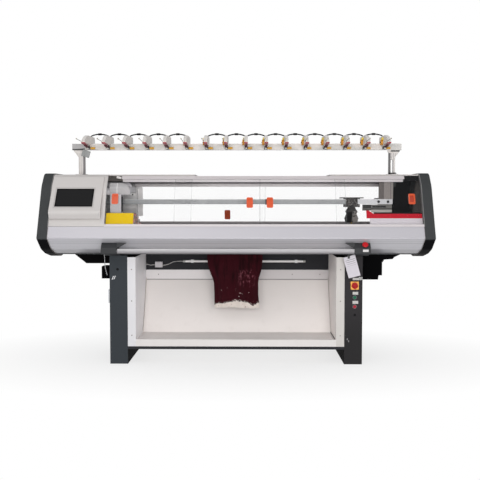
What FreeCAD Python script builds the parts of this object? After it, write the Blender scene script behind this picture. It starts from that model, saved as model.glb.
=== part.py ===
"""Flat knitting machine.

Frame: millimetres, X along the needle beds, -Y is the operator's side, +Z up.
The origin is on the floor, under the middle of the head.
"""
import FreeCAD, Part
import math
import os

V = FreeCAD.Vector

# ---- Head: the long housing, whose end caps set its outline ----
head_length = 2700.0
cap_thickness = 72.0
cap_wall = 16.0
cap_edge_round = 9.0
crease_y = 400.0          # the front crease, from the middle plane
crease_z = 878.0
shoulder_y = 250.0        # top end of the long slope
shoulder_z = 1238.0
top_edge_y = 170.0
head_top_z = 1328.0
belly_y = 290.0
belly_z = 800.0
keel_y = 188.0
keel_z = 765.0
head_bottom_z = 730.0
belly_round = 120.0
crease_round = 14.0
shoulder_round = 160.0
top_edge_round = 60.0
keel_round = 60.0
bottom_round = 300.0
cap_inner_x = head_length / 2 - cap_thickness
skin_inset = 8.0          # the covers lie this far inside the caps' outline
skin = 4.0
seam_z = 960.0            # where apron and upper covers meet
apron_hem_y = 135.0       # the aprons wrap under the head as far as this

# ---- Fits ----
slide_gap = 0.3
seat_gap = 0.3

# ---- Console at the left end ----
console_length = 382.0
console_right_x = -cap_inner_x + console_length
pod_margin = 6.0
pod_length = console_length - 30.0
pod_top_y = 202.0
pod_top_z = 1300.0
pod_nose_y = 378.0
pod_nose_z = 1056.0
pod_foot_y = 352.0
pod_foot_z = 1012.0
pod_nose_round = 24.0
pod_foot_round = 6.0
screen_left_x = -cap_inner_x + 41.0
screen_length = pod_length - 92.0
screen_low_z = 1095.0
screen_high_z = 1219.0
screen_depth = 5.0
screen_sink = 1.0

# ---- Doors of the head ----
door_thickness = 4.0
outer_inset = 8.0
inner_inset = 26.0
door_foot_z = 970.0
outer_door_top_z = 1304.0
inner_door_top_z = 1292.0
door_end_gap = 2.0
window_length = cap_inner_x - console_right_x
door_length = 0.2714 * window_length
doors_meet_x = console_right_x + 0.4887 * window_length
doors_meet_gap = 3.0
door_left_x = {
    "door_1": console_right_x + door_end_gap,
    "door_2": doors_meet_x - doors_meet_gap / 2 - door_length,
    "door_3": doors_meet_x + doors_meet_gap / 2,
    "door_4": cap_inner_x - door_end_gap - door_length,
}
door_inset = {"door_1": outer_inset, "door_2": inner_inset, "door_3": inner_inset, "door_4": outer_inset}
rear_door_length = 0.51 * window_length
rear_door_left_x = {
    "rear_door_1": console_right_x + door_end_gap,
    "rear_door_2": cap_inner_x - door_end_gap - rear_door_length,
}
rear_door_inset = {"rear_door_1": outer_inset, "rear_door_2": inner_inset}
handle_length = 44.0
handle_height = 72.0
handle_left_x = {
    "door_1": door_left_x["door_1"] + 41.0,
    "door_2": door_left_x["door_2"] + door_length - 91.0,
    "door_3": door_left_x["door_3"] + 45.0,
    "door_4": door_left_x["door_4"] + door_length - 92.0,
}
handle_low_z = {"door_1": 1113.0, "door_2": 1087.0, "door_3": 1087.0, "door_4": 1112.0}
rear_handle_left_x = {
    "rear_door_1": rear_door_left_x["rear_door_1"] + 0.7187 * rear_door_length,
    "rear_door_2": rear_door_left_x["rear_door_2"] + rear_door_length - 86.0,
}
rear_handle_low_z = 992.0
outer_handle_depth = 12.0
inner_handle_depth = 9.0
handle_round = 9.0
handle_wall = 8.0
track_low_z = seam_z
track_high_z = 976.0
track_outer_inset = 4.0
track_depth = 34.0
top_track_low_z = 1286.0
beam_top_z = head_top_z - 20.0
beam_left_x = 480.0 - cap_inner_x
beam_right_x = cap_inner_x - 107.0
left_cover_right_x = 988.0 - cap_inner_x
right_cover_x = cap_inner_x - 618.0
cover_lip = 5.0
beam_outer_y = 150.0
beam_inner_y = 110.0
beam_low_z = 1238.0
beam_front_low_z = 1262.0
front_beam_low_z = 1268.0
beam_wall = 5.0

# ---- Base beam, needle beds and carriage ways ----
base_y = 130.0
base_z = 756.0
cavity_y = 62.0
cavity_z = 830.0
throat_y = 16.0
ledge_y = 205.0
ledge_inner_y = 165.0
ledge_z = 800.0
ledge_floor_z = 815.0
way_z = 880.0
way_size = 20.0
bed_half_length = 707.0
bed_apex_z = 964.0
bed_gap = 8.0             # between the beds, where the fabric goes down
bed_width = 180.0
bed_thickness = 28.0
bed_foot_y = 112.0
trick_count = 56
trick_width = 6.0
trick_depth = 5.0
trick_length = 96.0

# ---- Take-down rollers ----
roller_radius = 22.0
roller_nip = 4.2
roller_z = 806.0
roller_half_length = bed_half_length - 7.0
journal_radius = 8.0
journal_length = 34.0
journal_gap = 0.05
bearing_thickness = 12.0
bearing_x = bed_half_length + 13.0
bearing_low_z = 770.0
bearing_high_z = 828.0

# ---- Brackets of the feeder rails ----
bracket_length = 100.0
bracket_thickness = 8.0
bracket_rear_step = 34.0
bracket_rear_depth = 12.0
bracket_left_x = cap_inner_x - 268.0
left_bracket_x = -cap_inner_x + 168.0

# ---- Carriage ----
carriage_left_x = left_bracket_x + bracket_length + 6.0
carriage_length = 263.0
front_arm_left_x = carriage_left_x + 123.0
front_arm_length = 77.0
bow_outer_y = 200.0
bow_foot_inner_y = 168.0
bow_inner_y = 112.0
bow_inner_z = 1197.0
bow_shoulder_z = 1232.0
bow_crown_y = 100.0
cover_top_z = 1269.0
cover_low_z = 1178.0
cover_round = 44.0
cam_low_v = 45.0
cam_high_v = 150.0
cam_low_w = 3.0
cam_high_w = 44.0
cam_side_gap = 5.0
arm_step_z = 1020.0
plate_low_z = 1021.0
plate_high_z = 1246.0
plate_length = 35.0
plate_notch = 16.0
plate_thickness = 4.0
plate_tongue = 60.0
plate_outer_y = 194.0
arm_hole_radius = 5.0
arm_hole_depth = 6.0
arm_hole_x = carriage_left_x + carriage_length - 29.0
arm_hole_z = 1180.0

# ---- Yarn feeder rails and carriers ----
rail_y = [-66.0, -22.0, 22.0, 66.0]
rail_left_x = left_bracket_x + bracket_length / 2
rail_right_x = bracket_left_x + bracket_length - 1.0
rail_low_z = 1111.0
rail_height = 36.0
rail_thickness = 12.0
carrier_x = bracket_left_x - 179.0
carrier_length = 100.0
carrier_cheek = 4.0
carrier_low_z = 1090.0
carrier_high_z = 1160.0
arm_foot_z = 977.0
arm_thickness = 3.0
arm_neck_length = 38.0
arm_shoulder_length = 72.0
arm_waist_length = 58.0
arm_foot_length = 94.0
arm_shoulder_z = 1057.0
arm_waist_z = 1042.0
arm_belly_z = 1008.0
nozzle_pitch = 8.0
nozzle_radius = 2.5
nozzle_tip_z = 968.5
wing_length = 34.0
wing_thickness = 8.0
end_block_x = bracket_left_x - 147.0
end_block_high_z = 1147.0
end_screw_x = (bracket_left_x, bracket_left_x + 67.0)
end_screw_radius = 7.0
end_block_y = 100.0
end_block_thickness = 14.0
slot_block_left_x = bracket_left_x - 50.0
slot_block_right_x = bracket_left_x + 97.0
slot_block_low_z = 1052.0
slot_block_high_z = 1108.0
slot_low_z = 1090.0
slot_high_z = 1099.0
slot_depth = 5.0
tongue_left_x = bracket_left_x - 112.0
tongue_low_z = 1066.0

# ---- Guards inside the head ----
guard_inset = 44.0
guard_thickness = 3.0
left_guard_x = (console_right_x + door_end_gap, console_right_x + door_end_gap + 189.0)
left_guard_top_z = 1051.0
right_guard_x = (cap_inner_x - 359.0, cap_inner_x)
right_guard_top_z = 1015.0
bumper_x = (cap_inner_x - 381.0, cap_inner_x)
bumper_low_z = 1015.0
bumper_high_z = 1046.0
bumper_horn_z = 1069.0
bumper_horn_length = 16.0
bumper_horn_run = 50.0
strip_high_z = 1056.0
clamp_count = 6
clamp_pitch = 9.0
clamp_base_height = 15.0
clamp_top_z = 1052.0
clamp_step = 2.6
clamp_base_depth = 30.0
clamp_depth = 12.0
wall_left_x = cap_inner_x - 133.0
inner_wall_low_z = seam_z
guard_foot_length = 30.0
guard_foot_height = 24.0

# ---- Legs and the fabric box ----
box_half_length = 695.0
box_flange = 57.0
leg_inner_x = box_half_length + box_flange
leg_width = 124.0
leg_depth = 546.0
leg_wall = 4.0
crossbar_low_z = 103.0
crossbar_height = 20.0
crossbar_depth = 30.0
crossbar_top_z = crossbar_low_z + crossbar_height
leg_outer_x = leg_inner_x + leg_width
sheet = 3.0
lip_top_z = 172.0
lip_width = 9.0
box_floor_z = 164.0
slope_foot_y = 70.0
slope_top_z = 538.0
box_back_top_z = 610.0
side_top_z = 745.0
dark_panel_y = 266.0

# ---- Start bar and its brackets ----
bar_y = 358.0
bar_z = 792.0
bar_radius = 19.0
bar_journal_radius = 10.0
bar_journal_length = 24.0
bar_end_gap = 1.0
bracket_front_y = 385.0
bracket_inner_x = leg_inner_x + 54.0
bracket_outer_x = leg_outer_x + 38.0
bar_half_length = bracket_inner_x - bar_end_gap
bracket_chamfer = 34.0
bracket_lip = 40.0
cheek_length = 60.0
cheek_low_y = 372.0
cheek_high_y = 318.0
cheek_low_z = 812.0
bracket_low_z = 772.0
bracket_high_z = 849.0
stop_x = leg_outer_x + 2.0
stop_radius = 20.0
stop_head_height = 10.0
stop_head_bevel = 3.5
stop_stem_sink = 16.0
stop_stem_radius = 9.0
stop_travel = 5.0

# ---- Switches on the right leg ----
switch_x = leg_inner_x + 70.0
switch_z = 550.0
switch_plate = 56.0
switch_plate_thickness = 3.0
knob_radius = 22.0
knob_depth = 24.0
button_z = {"green_button": 468.0, "red_button": 404.0}
button_radius = 11.0
ring_radius = 14.5
ring_depth = 4.0
button_stand = 9.0

# ---- Lamp behind the fabric ----
lamp_left_x = -box_half_length + 285.0
lamp_right_x = box_half_length - 176.0
lamp_y = 250.0
lamp_z = 676.0
lamp_radius = 8.5
lead_radius = 2.2
junction_left_x = -box_half_length + 72.0
junction_right_x = junction_left_x + 56.0
junction_low_z = 630.0
junction_high_z = 672.0
junction_depth = 12.0
clip_length = 20.0
clip_height = 22.0
clip_gap = 0.02
lead_wall_z = 652.0
lead_sag_z = 644.0
lead_in_z = 648.0
lead_out_z = 645.0
lead_rise_z = 656.0
lead_run = 18.0

# ---- Fabric ----
fabric_thickness = 3.0
fabric_waves = 3
fabric_sections = [
    # height, left end, right end, wave height
    (955.0, -212.0, 192.0, 0.2),
    (765.0, -212.0, 192.0, 0.2),
    (669.0, -207.0, 186.0, 4.0),
    (557.0, -169.0, 161.0, 8.0),
    (452.0, -160.0, 159.0, 10.0),
    (350.0, -160.0, 168.0, 12.0),
]

# ---- Yarn rail above the head ----
yarn_rail_half_length = cap_inner_x - 94.0
yarn_rail_low_z = 1500.0
yarn_rail_high_z = 1545.0
yarn_rail_depth = 40.0
yarn_rail_wall = 4.0
post_inner_x = yarn_rail_half_length - 89.0
post_outer_x = yarn_rail_half_length - 44.0
post_depth = 26.0
post_slot = 15.0
post_slot_end = 70.0
post_foot_length = 80.0
post_foot_depth = 90.0
post_foot_thickness = 6.0
unit_count = 16
unit_pitch = 2 * (yarn_rail_half_length - 128.0) / (unit_count - 1)
unit_width = 22.0
unit_front_y = 258.0
unit_rear_y = 114.0
unit_foot_y = 62.0
unit_low_z = 1502.0
unit_high_z = 1598.0
unit_nose_z = 1546.0
unit_belly_z = 1532.0
disc_radius = 20.0
disc_thickness = 14.0
disc_y = 40.0
disc_z = 1552.0
guide_y = 48.0
guide_z = 1511.0
guide_radius = 8.0
guide_length = 32.0
tension_arm_reach = 150.0
tension_arm_radius = 1.8
tension_arm_y = 244.0
tension_arm_z = 1546.0
lead_stand_z = 1608.0
lead_crown_z = 1624.0
lead_y = -4.0
lead_end_round = 8.0
lead_crown_round = 150.0
units_without_lead = 5    # the lead skips the gap after this unit

# ---- Drive housings under the head ----
duct_depth = 240.0
duct_height = 66.0
duct_length = 276.0
duct_foot_length = 192.0
junction_box_length = 84.0
junction_box_depth = 120.0
junction_box_low_z = 581.0
junction_box_high_z = 668.0
housing_steps = [(0.0, 56.0), (164.0, 56.0), (174.0, 38.0), (234.0, 34.0), (246.0, 20.0), (289.0, 0.0)]
drive_box_steps = [(0.0, 180.0), (132.0, 180.0), (136.0, 150.0), (160.0, 150.0)]

# ---- Worked out from the sizes above ----
slope_lean = (crease_y - shoulder_y) / (shoulder_z - crease_z)
slope_normal = math.hypot(1.0, slope_lean)
root2 = math.sqrt(2.0)


# ================= Shape helpers =================

def corner(points, i):
    """Tangent points of the arc that rounds corner i, and the arc's middle point."""
    here = V(*points[i][:3])
    before = V(*points[i - 1][:3])
    after = V(*points[(i + 1) % len(points)][:3])
    radius = points[i][3]
    to_before = (before - here).normalize()
    to_after = (after - here).normalize()
    half = to_before.getAngle(to_after) / 2
    reach = radius / math.tan(half)
    middle_way = (to_before + to_after).normalize()
    middle = here + middle_way * (radius / math.sin(half) - radius)
    return here + to_before * reach, middle, here + to_after * reach


def path(points, closed):
    """A wire of straight runs joined by tangent arcs; a point is (x, y, z, radius)."""
    edges = []
    count = len(points)
    first = None
    last = None
    for i in range(count):
        rounded = points[i][3] > 0 and (closed or 0 < i < count - 1)
        if rounded:
            start, middle, end = corner(points, i)
        else:
            start = end = V(*points[i][:3])
        if last is not None and last.distanceToPoint(start) > 1e-6:
            edges.append(Part.LineSegment(last, start).toShape())
        if rounded:
            edges.append(Part.Arc(start, middle, end).toShape())
        if first is None:
            first = start
        last = end
    if closed and last.distanceToPoint(first) > 1e-6:
        edges.append(Part.LineSegment(last, first).toShape())
    return Part.Wire(edges)


def outline(plane, points):
    """A closed wire in plane "yz", "xz" or "xy"; a point is (a, b) or (a, b, radius)."""
    placed = []
    for point in points:
        a, b = point[:2]
        radius = point[2] if len(point) > 2 else 0.0
        where = {"yz": (0.0, a, b), "xz": (a, 0.0, b), "xy": (a, b, 0.0)}[plane]
        placed.append(where + (radius,))
    return path(placed, True)


def along_x(points, x0, x1):
    """A solid of constant section in the YZ plane."""
    face = Part.Face(outline("yz", points))
    face.translate(V(x0, 0, 0))
    return face.extrude(V(x1 - x0, 0, 0))


def along_y(points, y0, y1):
    """A solid of constant section in the XZ plane."""
    face = Part.Face(outline("xz", points))
    face.translate(V(0, y0, 0))
    return face.extrude(V(0, y1 - y0, 0))


def along_z(points, z0, z1):
    """A solid of constant section in the XY plane."""
    face = Part.Face(outline("xy", points))
    face.translate(V(0, 0, z0))
    return face.extrude(V(0, 0, z1 - z0))


def block(x0, x1, y0, y1, z0, z1):
    return Part.makeBox(x1 - x0, y1 - y0, z1 - z0, V(x0, y0, z0))


def rod(start, direction, radius, length):
    return Part.makeCylinder(radius, length, V(*start), V(*direction))


def sheet_line(points, thickness):
    """Closes an open line of (a, b) points into a sheet's section, on the line's left side."""
    normals = []
    for (a0, b0), (a1, b1) in zip(points, points[1:]):
        length = math.hypot(a1 - a0, b1 - b0)
        normals.append((-(b1 - b0) / length, (a1 - a0) / length))
    offset = []
    for i, (a, b) in enumerate(points):
        first = normals[max(i - 1, 0)]
        second = normals[min(i, len(normals) - 1)]
        share = thickness / (1.0 + first[0] * second[0] + first[1] * second[1])
        offset.append((a + (first[0] + second[0]) * share, b + (first[1] + second[1]) * share))
    return list(points) + offset[::-1]


def mirror_y(shape):
    return shape.mirror(V(0, 0, 0), V(0, 1, 0))


def mirror_x(shape):
    return shape.mirror(V(0, 0, 0), V(1, 0, 0))


def group(solids):
    return Part.Compound(solids)


# ================= The head's outline =================

def head_face(inset):
    """The head's section, this far inside the caps' outline."""
    half = [
        (-belly_y, belly_z, belly_round),
        (-crease_y, crease_z, crease_round),
        (-shoulder_y, shoulder_z, shoulder_round),
        (-top_edge_y, head_top_z, top_edge_round),
    ]
    keel = [(-keel_y, keel_z, keel_round)]
    bottom = [(0.0, head_bottom_z, bottom_round)]
    mirrored = [(-a, b, r) for a, b, r in half[::-1] + keel]
    wire = outline("yz", bottom + keel + half + mirrored)
    if inset > 0:
        wire = wire.makeOffset2D(-inset)
    return Part.Face(wire)


def head_solid(inset, x0, x1):
    face = head_face(inset)
    face.translate(V(x0, 0, 0))
    return face.extrude(V(x1 - x0, 0, 0))


def band(inset, thickness, x0, x1, y0, y1, z0, z1):
    """A cover that follows the head's outline, within the given limits."""
    ring = head_solid(inset, x0, x1).cut(head_solid(inset + thickness, x0 - 1, x1 + 1))
    return ring.common(block(x0, x1, y0, y1, z0, z1))


def slope_y(z, inset):
    """How far the long slope lies from the middle plane at this height."""
    return crease_y - (z - crease_z) * slope_lean - inset * slope_normal


def slope_slab(x0, x1, z0, z1, inset0, inset1):
    """A slab on the front slope, from one depth inside the outline to another."""
    points = [
        (-slope_y(z0, inset0), z0),
        (-slope_y(z1, inset0), z1),
        (-slope_y(z1, inset1), z1),
        (-slope_y(z0, inset1), z0),
    ]
    return along_x(points, x0, x1)


def end_cap():
    """The right cap: a moulded shell with its mouth towards the head."""
    outer = head_solid(0.0, cap_inner_x, head_length / 2)
    far_edges = [e for e in outer.Edges if min(v.X for v in e.Vertexes) > head_length / 2 - 0.01]
    outer = outer.makeFillet(cap_edge_round, far_edges)
    pocket = head_solid(cap_wall, cap_inner_x - 1, head_length / 2 - cap_wall)
    return outer.cut(pocket)


def apron():
    return band(skin_inset, skin, -cap_inner_x, cap_inner_x, -crease_y, -apron_hem_y, head_bottom_z, seam_z)


def console_cover():
    return band(skin_inset, skin, -cap_inner_x, console_right_x, -crease_y, crease_y, seam_z, head_top_z)


def top_cover(left_x, right_x, rib_left_x, rib_right_x):
    """A thin cover over both beams: its ribs rest on them, and a short lip stiffens its whole edge."""
    cover = band(skin_inset, skin, left_x, right_x, -beam_outer_y, beam_outer_y, top_track_low_z, head_top_z)
    under_z = head_top_z - skin_inset - skin
    ribs = []
    for y0 in (-beam_outer_y + skin, beam_inner_y):
        y1 = y0 + beam_outer_y - beam_inner_y - skin
        ribs.append(block(rib_left_x, rib_right_x, y0, y1, beam_top_z, under_z + 1))
        ribs.append(block(left_x, right_x, y0, y1, under_z - cover_lip, under_z + 1))
    return cover.fuse(ribs).removeSplitter()


def pod_line_y(z, depth):
    """The pod's face at a height, this far under the surface."""
    lean = (pod_nose_y - pod_top_y) / (pod_top_z - pod_nose_z)
    return pod_top_y + (pod_top_z - z) * lean - depth * math.hypot(1.0, lean)


def pod_slab(x0, x1, z0, z1, depth0, depth1):
    points = [
        (-pod_line_y(z0, depth0), z0),
        (-pod_line_y(z1, depth0), z1),
        (-pod_line_y(z1, depth1), z1),
        (-pod_line_y(z0, depth1), z0),
    ]
    return along_x(points, x0, x1)


def console_pod():
    """The raised moulding that holds the screen, seated on the console cover."""
    x0 = -cap_inner_x + pod_margin
    points = [
        (-pod_top_y, pod_top_z),
        (-pod_nose_y, pod_nose_z, pod_nose_round),
        (-pod_foot_y, pod_foot_z, pod_foot_round),
        (-beam_outer_y, pod_foot_z),
        (-beam_outer_y, pod_top_z),
    ]
    pod = along_x(points, x0, x0 + pod_length)
    pod = pod.cut(head_solid(skin_inset, x0 - 1, x0 + pod_length + 1))
    pocket = pod_slab(screen_left_x, screen_left_x + screen_length, screen_low_z, screen_high_z,
                      -1.0, screen_depth)
    return max(pod.cut(pocket).Solids, key=lambda s: s.Volume)


def touch_screen():
    return pod_slab(screen_left_x + seat_gap, screen_left_x + screen_length - seat_gap,
                    screen_low_z + seat_gap, screen_high_z - seat_gap, screen_sink, screen_depth)


# ================= Doors and their tracks =================

def door(left_x, length, inset, rear=False):
    top_z = outer_door_top_z if inset == outer_inset else inner_door_top_z
    sheet_door = band(inset, door_thickness, left_x, left_x + length, -crease_y, -beam_outer_y,
                      door_foot_z, top_z)
    return mirror_y(sheet_door) if rear else sheet_door


def door_grooves(inset, top_z):
    """The room that a door's two running edges need in the tracks."""
    return band(inset - slide_gap, door_thickness + 2 * slide_gap, console_right_x - 1, cap_inner_x + 1,
                -crease_y, -beam_outer_y, door_foot_z - slide_gap, top_z + slide_gap)


def track(left_x, right_x, z0, z1):
    """An extruded track with one groove for the outer and one for the inner doors."""
    bar = band(track_outer_inset, track_depth, left_x, right_x, -crease_y, -beam_outer_y, z0, z1)
    bar = bar.cut(door_grooves(outer_inset, outer_door_top_z))
    return bar.cut(door_grooves(inner_inset, inner_door_top_z))


def top_beam(left_x, outer_low_z, inner_low_z):
    """A hollow extrusion along the head's top, open at its ends."""
    points = [
        (-beam_outer_y, outer_low_z),
        (-beam_inner_y, inner_low_z),
        (-beam_inner_y, beam_top_z),
        (-beam_outer_y, beam_top_z),
    ]
    wire = Part.Face(outline("yz", points)).common(head_face(skin_inset + skin)).Faces[0].OuterWire
    section = Part.Face(wire).cut(Part.Face(wire.makeOffset2D(-beam_wall)))
    section.translate(V(left_x, 0, 0))
    return section.extrude(V(beam_right_x - left_x, 0, 0))


def beam_end(left_x, right_x, outer_low_z, inner_low_z):
    """The dark end bracket that joins a beam to a cap."""
    points = [
        (-beam_outer_y, outer_low_z + beam_wall),
        (-beam_inner_y, inner_low_z + beam_wall),
        (-beam_inner_y, beam_top_z),
        (-beam_outer_y, beam_top_z),
    ]
    return along_x(points, left_x, right_x)


def handle(left_x, low_z, inset, depth, rear=False):
    """A finger pull with rounded corners and a recess, seated on its door."""
    right_x = left_x + handle_length
    high_z = low_z + handle_height
    pull = slope_slab(left_x, right_x, low_z, high_z, inset - depth, inset)
    frame = [
        (left_x, low_z, handle_round),
        (right_x, low_z, handle_round),
        (right_x, high_z, handle_round),
        (left_x, high_z, handle_round),
    ]
    pull = pull.common(along_y(frame, -crease_y - depth, 0.0))
    recess = slope_slab(left_x + handle_wall, right_x - handle_wall, low_z + 1.5 * handle_wall,
                        high_z - 1.5 * handle_wall, inset - depth - 1, inset - depth / 3)
    pull = pull.cut(recess)
    return mirror_y(pull) if rear else pull


# ================= Beds, base beam and rollers =================

def bed_point(v, w):
    """A point of the front bed's section: v down the slope, w out of its face."""
    return (-bed_gap / 2 - v / root2 - w / root2, bed_apex_z - v / root2 + w / root2)


def bed_plane_z(y, w):
    """Height of the plane that lies w out of the front bed's face."""
    foot_y, foot_z = bed_point(0.0, w)
    return foot_z + (y - foot_y)


def roof_z(y):
    """Height of the face that carries the front bed."""
    return bed_plane_z(y, -bed_thickness)


def base_half():
    """The front half of the cast base: a roof for the bed and a ledge for the carriage way."""
    points = [
        (-base_y, base_z),
        (-cavity_y, base_z),
        (-cavity_y, cavity_z),
        (-throat_y, cavity_z + cavity_y - throat_y),
        (-throat_y, roof_z(-throat_y)),
        (-bed_foot_y, roof_z(-bed_foot_y)),
        (-bed_foot_y, ledge_floor_z),
        (-ledge_inner_y, ledge_floor_z),
        (-ledge_inner_y, way_z),
        (-ledge_y, way_z),
        (-ledge_y, ledge_z),
        (-base_y, ledge_z),
    ]
    return along_x(points, -cap_inner_x, cap_inner_x)


def bed(lift):
    """A needle bed: a plate with a comb of tricks, this far off its seat."""
    points = [
        bed_point(0.0, 0.0),
        bed_point(bed_width, 0.0),
        bed_point(bed_width, lift - bed_thickness),
        (-bed_gap / 2, bed_plane_z(-bed_gap / 2, lift - bed_thickness)),
    ]
    plate = along_x(points, -bed_half_length, bed_half_length)
    trick_section = [
        bed_point(-1.0, -trick_depth),
        bed_point(trick_length, -trick_depth),
        bed_point(trick_length, 1.0),
        bed_point(-1.0, 1.0),
    ]
    pitch = 2 * bed_half_length / trick_count
    tricks = []
    for i in range(trick_count):
        middle_x = -bed_half_length + (i + 0.5) * pitch
        tricks.append(along_x(trick_section, middle_x - trick_width / 2, middle_x + trick_width / 2))
    return plate.cut(tricks)


def carriage_ways():
    """Square guide bars on the ledges."""
    middle_y = (ledge_y + ledge_inner_y) / 2
    bar = block(-cap_inner_x + seat_gap, cap_inner_x - seat_gap, -middle_y - way_size / 2,
                -middle_y + way_size / 2, way_z, way_z + way_size)
    return group([bar, mirror_y(bar)])


roller_y = roller_radius + roller_nip / 2


def roller(y):
    body = rod((-roller_half_length, y, roller_z), (1, 0, 0), roller_radius, 2 * roller_half_length)
    shaft = rod((-roller_half_length - journal_length, y, roller_z), (1, 0, 0), journal_radius,
                2 * (roller_half_length + journal_length))
    return body.fuse(shaft).removeSplitter()


def roller_bearings():
    plates = []
    for x in (-bearing_x - bearing_thickness, bearing_x):
        plate = block(x, x + bearing_thickness, -cavity_y, cavity_y, bearing_low_z, bearing_high_z)
        for y in (-roller_y, roller_y):
            bore = rod((x - 1, y, roller_z), (1, 0, 0), journal_radius + journal_gap, bearing_thickness + 2)
            plate = plate.cut(bore)
        plates.append(plate)
    return plates


# ================= Carriage =================

carriage_right_x = carriage_left_x + carriage_length


def carriage_bow():
    """The arch over the feeder rails that joins the two cam boxes; its front arm is narrower."""
    left = [
        (-bow_outer_y, way_z + way_size + slide_gap),
        (-bow_outer_y, bow_shoulder_z - 6, 40.0),
        (-bow_crown_y, bow_shoulder_z),
    ]
    right = [(-p[0],) + tuple(p[1:]) for p in left[::-1]]
    inner_right = [
        (bow_foot_inner_y, way_z + way_size + slide_gap),
        (bow_foot_inner_y, arm_step_z, 20.0),
        (bow_inner_y, arm_step_z + 60, 20.0),
        (bow_inner_y, bow_inner_z, 12.0),
    ]
    inner_left = [(-p[0],) + tuple(p[1:]) for p in inner_right[::-1]]
    arch = along_x(left + right + inner_right + inner_left, carriage_left_x, carriage_right_x)
    front_arm_right_x = front_arm_left_x + front_arm_length
    for x0, x1 in ((carriage_left_x - 1, front_arm_left_x), (front_arm_right_x, carriage_right_x + 1)):
        arch = arch.cut(block(x0, x1, -bow_outer_y - 1, -bow_inner_y + 8, way_z, cover_low_z))
    hole = rod((arm_hole_x, bow_inner_y - 1, arm_hole_z), (0, 1, 0), arm_hole_radius, arm_hole_depth + 1)
    return arch.cut(hole)


def cam_box():
    """The front cam box, close over the front bed."""
    top_z = bed_plane_z(-bow_inner_y, cam_high_w)
    step_y = ledge_inner_y - cam_side_gap
    step_z = way_z + way_size + cam_side_gap
    points = [
        bed_point(cam_low_v, cam_low_w),
        bed_point(cam_high_v, cam_low_w),
        (-step_y, bed_point(cam_high_v, cam_low_w)[1]),
        (-step_y, step_z),
        (-bow_foot_inner_y, step_z),
        (-bow_foot_inner_y, top_z),
        (-bow_inner_y, top_z),
        bed_point(cam_low_v, cam_high_w),
    ]
    return along_x(points, carriage_left_x + 30, carriage_right_x - 12)


def carriage_cover():
    """The rounded hood on the bow, with one large rounded corner at its right."""
    section = [
        (-bow_crown_y + 2, bow_shoulder_z),
        (-bow_crown_y + 2, cover_top_z, 26.0),
        (bow_crown_y - 2, cover_top_z, 26.0),
        (bow_crown_y - 2, bow_shoulder_z),
    ]
    hood = along_x(section, carriage_left_x, carriage_right_x)
    front = [
        (carriage_left_x, cover_low_z),
        (carriage_right_x, cover_low_z),
        (carriage_right_x, cover_top_z, cover_round),
        (carriage_left_x, cover_top_z),
    ]
    return hood.common(along_y(front, -bow_outer_y, bow_outer_y))


def carriage_plate():
    """The upright ear on the rear arm's right edge, with a tongue above the arm's shoulder."""
    left_x = carriage_right_x - plate_tongue
    right_x = carriage_right_x + plate_length
    frame = [
        (left_x, plate_low_z),
        (right_x, plate_low_z),
        (right_x, plate_high_z - plate_notch),
        (right_x - plate_notch, plate_high_z, 6.0),
        (left_x, plate_high_z),
    ]
    return along_y(frame, plate_outer_y - plate_thickness, plate_outer_y).cut(carriage_bow())


# ================= Feeder rails and yarn carriers =================

def feeder_rails():
    rails = []
    for y in rail_y:
        rails.append(block(rail_left_x, rail_right_x, y - rail_thickness / 2, y + rail_thickness / 2,
                           rail_low_z, rail_low_z + rail_height))
    return group(rails)


def rail_bracket(left_x):
    """A folded bracket that hangs between the top beams, with a foot for each rail."""
    top_z = head_top_z - skin_inset - skin - 16
    low_z = rail_low_z + rail_height
    line = [(-beam_inner_y, top_z), (-beam_inner_y, low_z), (beam_inner_y, low_z), (beam_inner_y, top_z)]
    bracket = along_x(sheet_line(line, bracket_thickness), left_x, left_x + bracket_length)
    step_y = beam_inner_y - bracket_rear_depth
    return bracket.cut(block(left_x - 1, left_x + bracket_rear_step, step_y, beam_inner_y + 1, rail_low_z, top_z + 1))


def carrier(middle_x, y, index):
    """A yarn carrier: the slider on its rail, the bell-shaped arm and the nozzle."""
    half = carrier_length / 2
    room_y = rail_thickness / 2 + slide_gap
    slider = block(middle_x - half, middle_x + half, y - room_y - carrier_cheek, y + room_y + carrier_cheek,
                   carrier_low_z, carrier_high_z)
    slider = slider.cut(block(middle_x - half - 1, middle_x + half + 1, y - room_y, y + room_y,
                              rail_low_z - slide_gap, rail_low_z + rail_height + slide_gap))
    wing_x = middle_x + half if index % 2 else middle_x - half - wing_length
    wing = block(wing_x, wing_x + wing_length, y - 4, y + 4, carrier_high_z - wing_thickness, carrier_high_z)
    tip_y = (index - 1.5) * nozzle_pitch - arm_thickness / 2
    arm_line = [(y, carrier_low_z + 2), (y, arm_shoulder_z), (tip_y, arm_foot_z)]
    arm = along_x(sheet_line(arm_line, arm_thickness), middle_x - half, middle_x + half)
    profile = [
        (arm_neck_length / 2, carrier_low_z + 3, 0.0),
        (arm_neck_length / 2, carrier_low_z - 6, 8.0),
        (arm_shoulder_length / 2, arm_shoulder_z, 5.0),
        (arm_waist_length / 2, arm_waist_z, 8.0),
        (arm_foot_length / 2, arm_belly_z, 10.0),
        (arm_foot_length / 2 - 7, arm_foot_z - 1, 5.0),
    ]
    bell = [(middle_x + out, z, round_off) for out, z, round_off in profile]
    bell += [(middle_x - out, z, round_off) for out, z, round_off in profile[::-1]]
    arm = arm.common(along_y(bell, -bow_inner_y, bow_inner_y))
    nozzle = rod((middle_x, tip_y + arm_thickness / 2, nozzle_tip_z), (0, 0, 1), nozzle_radius,
                 arm_foot_z + 6 - nozzle_tip_z)
    return slider.fuse([wing, arm, nozzle]).removeSplitter()


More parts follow.
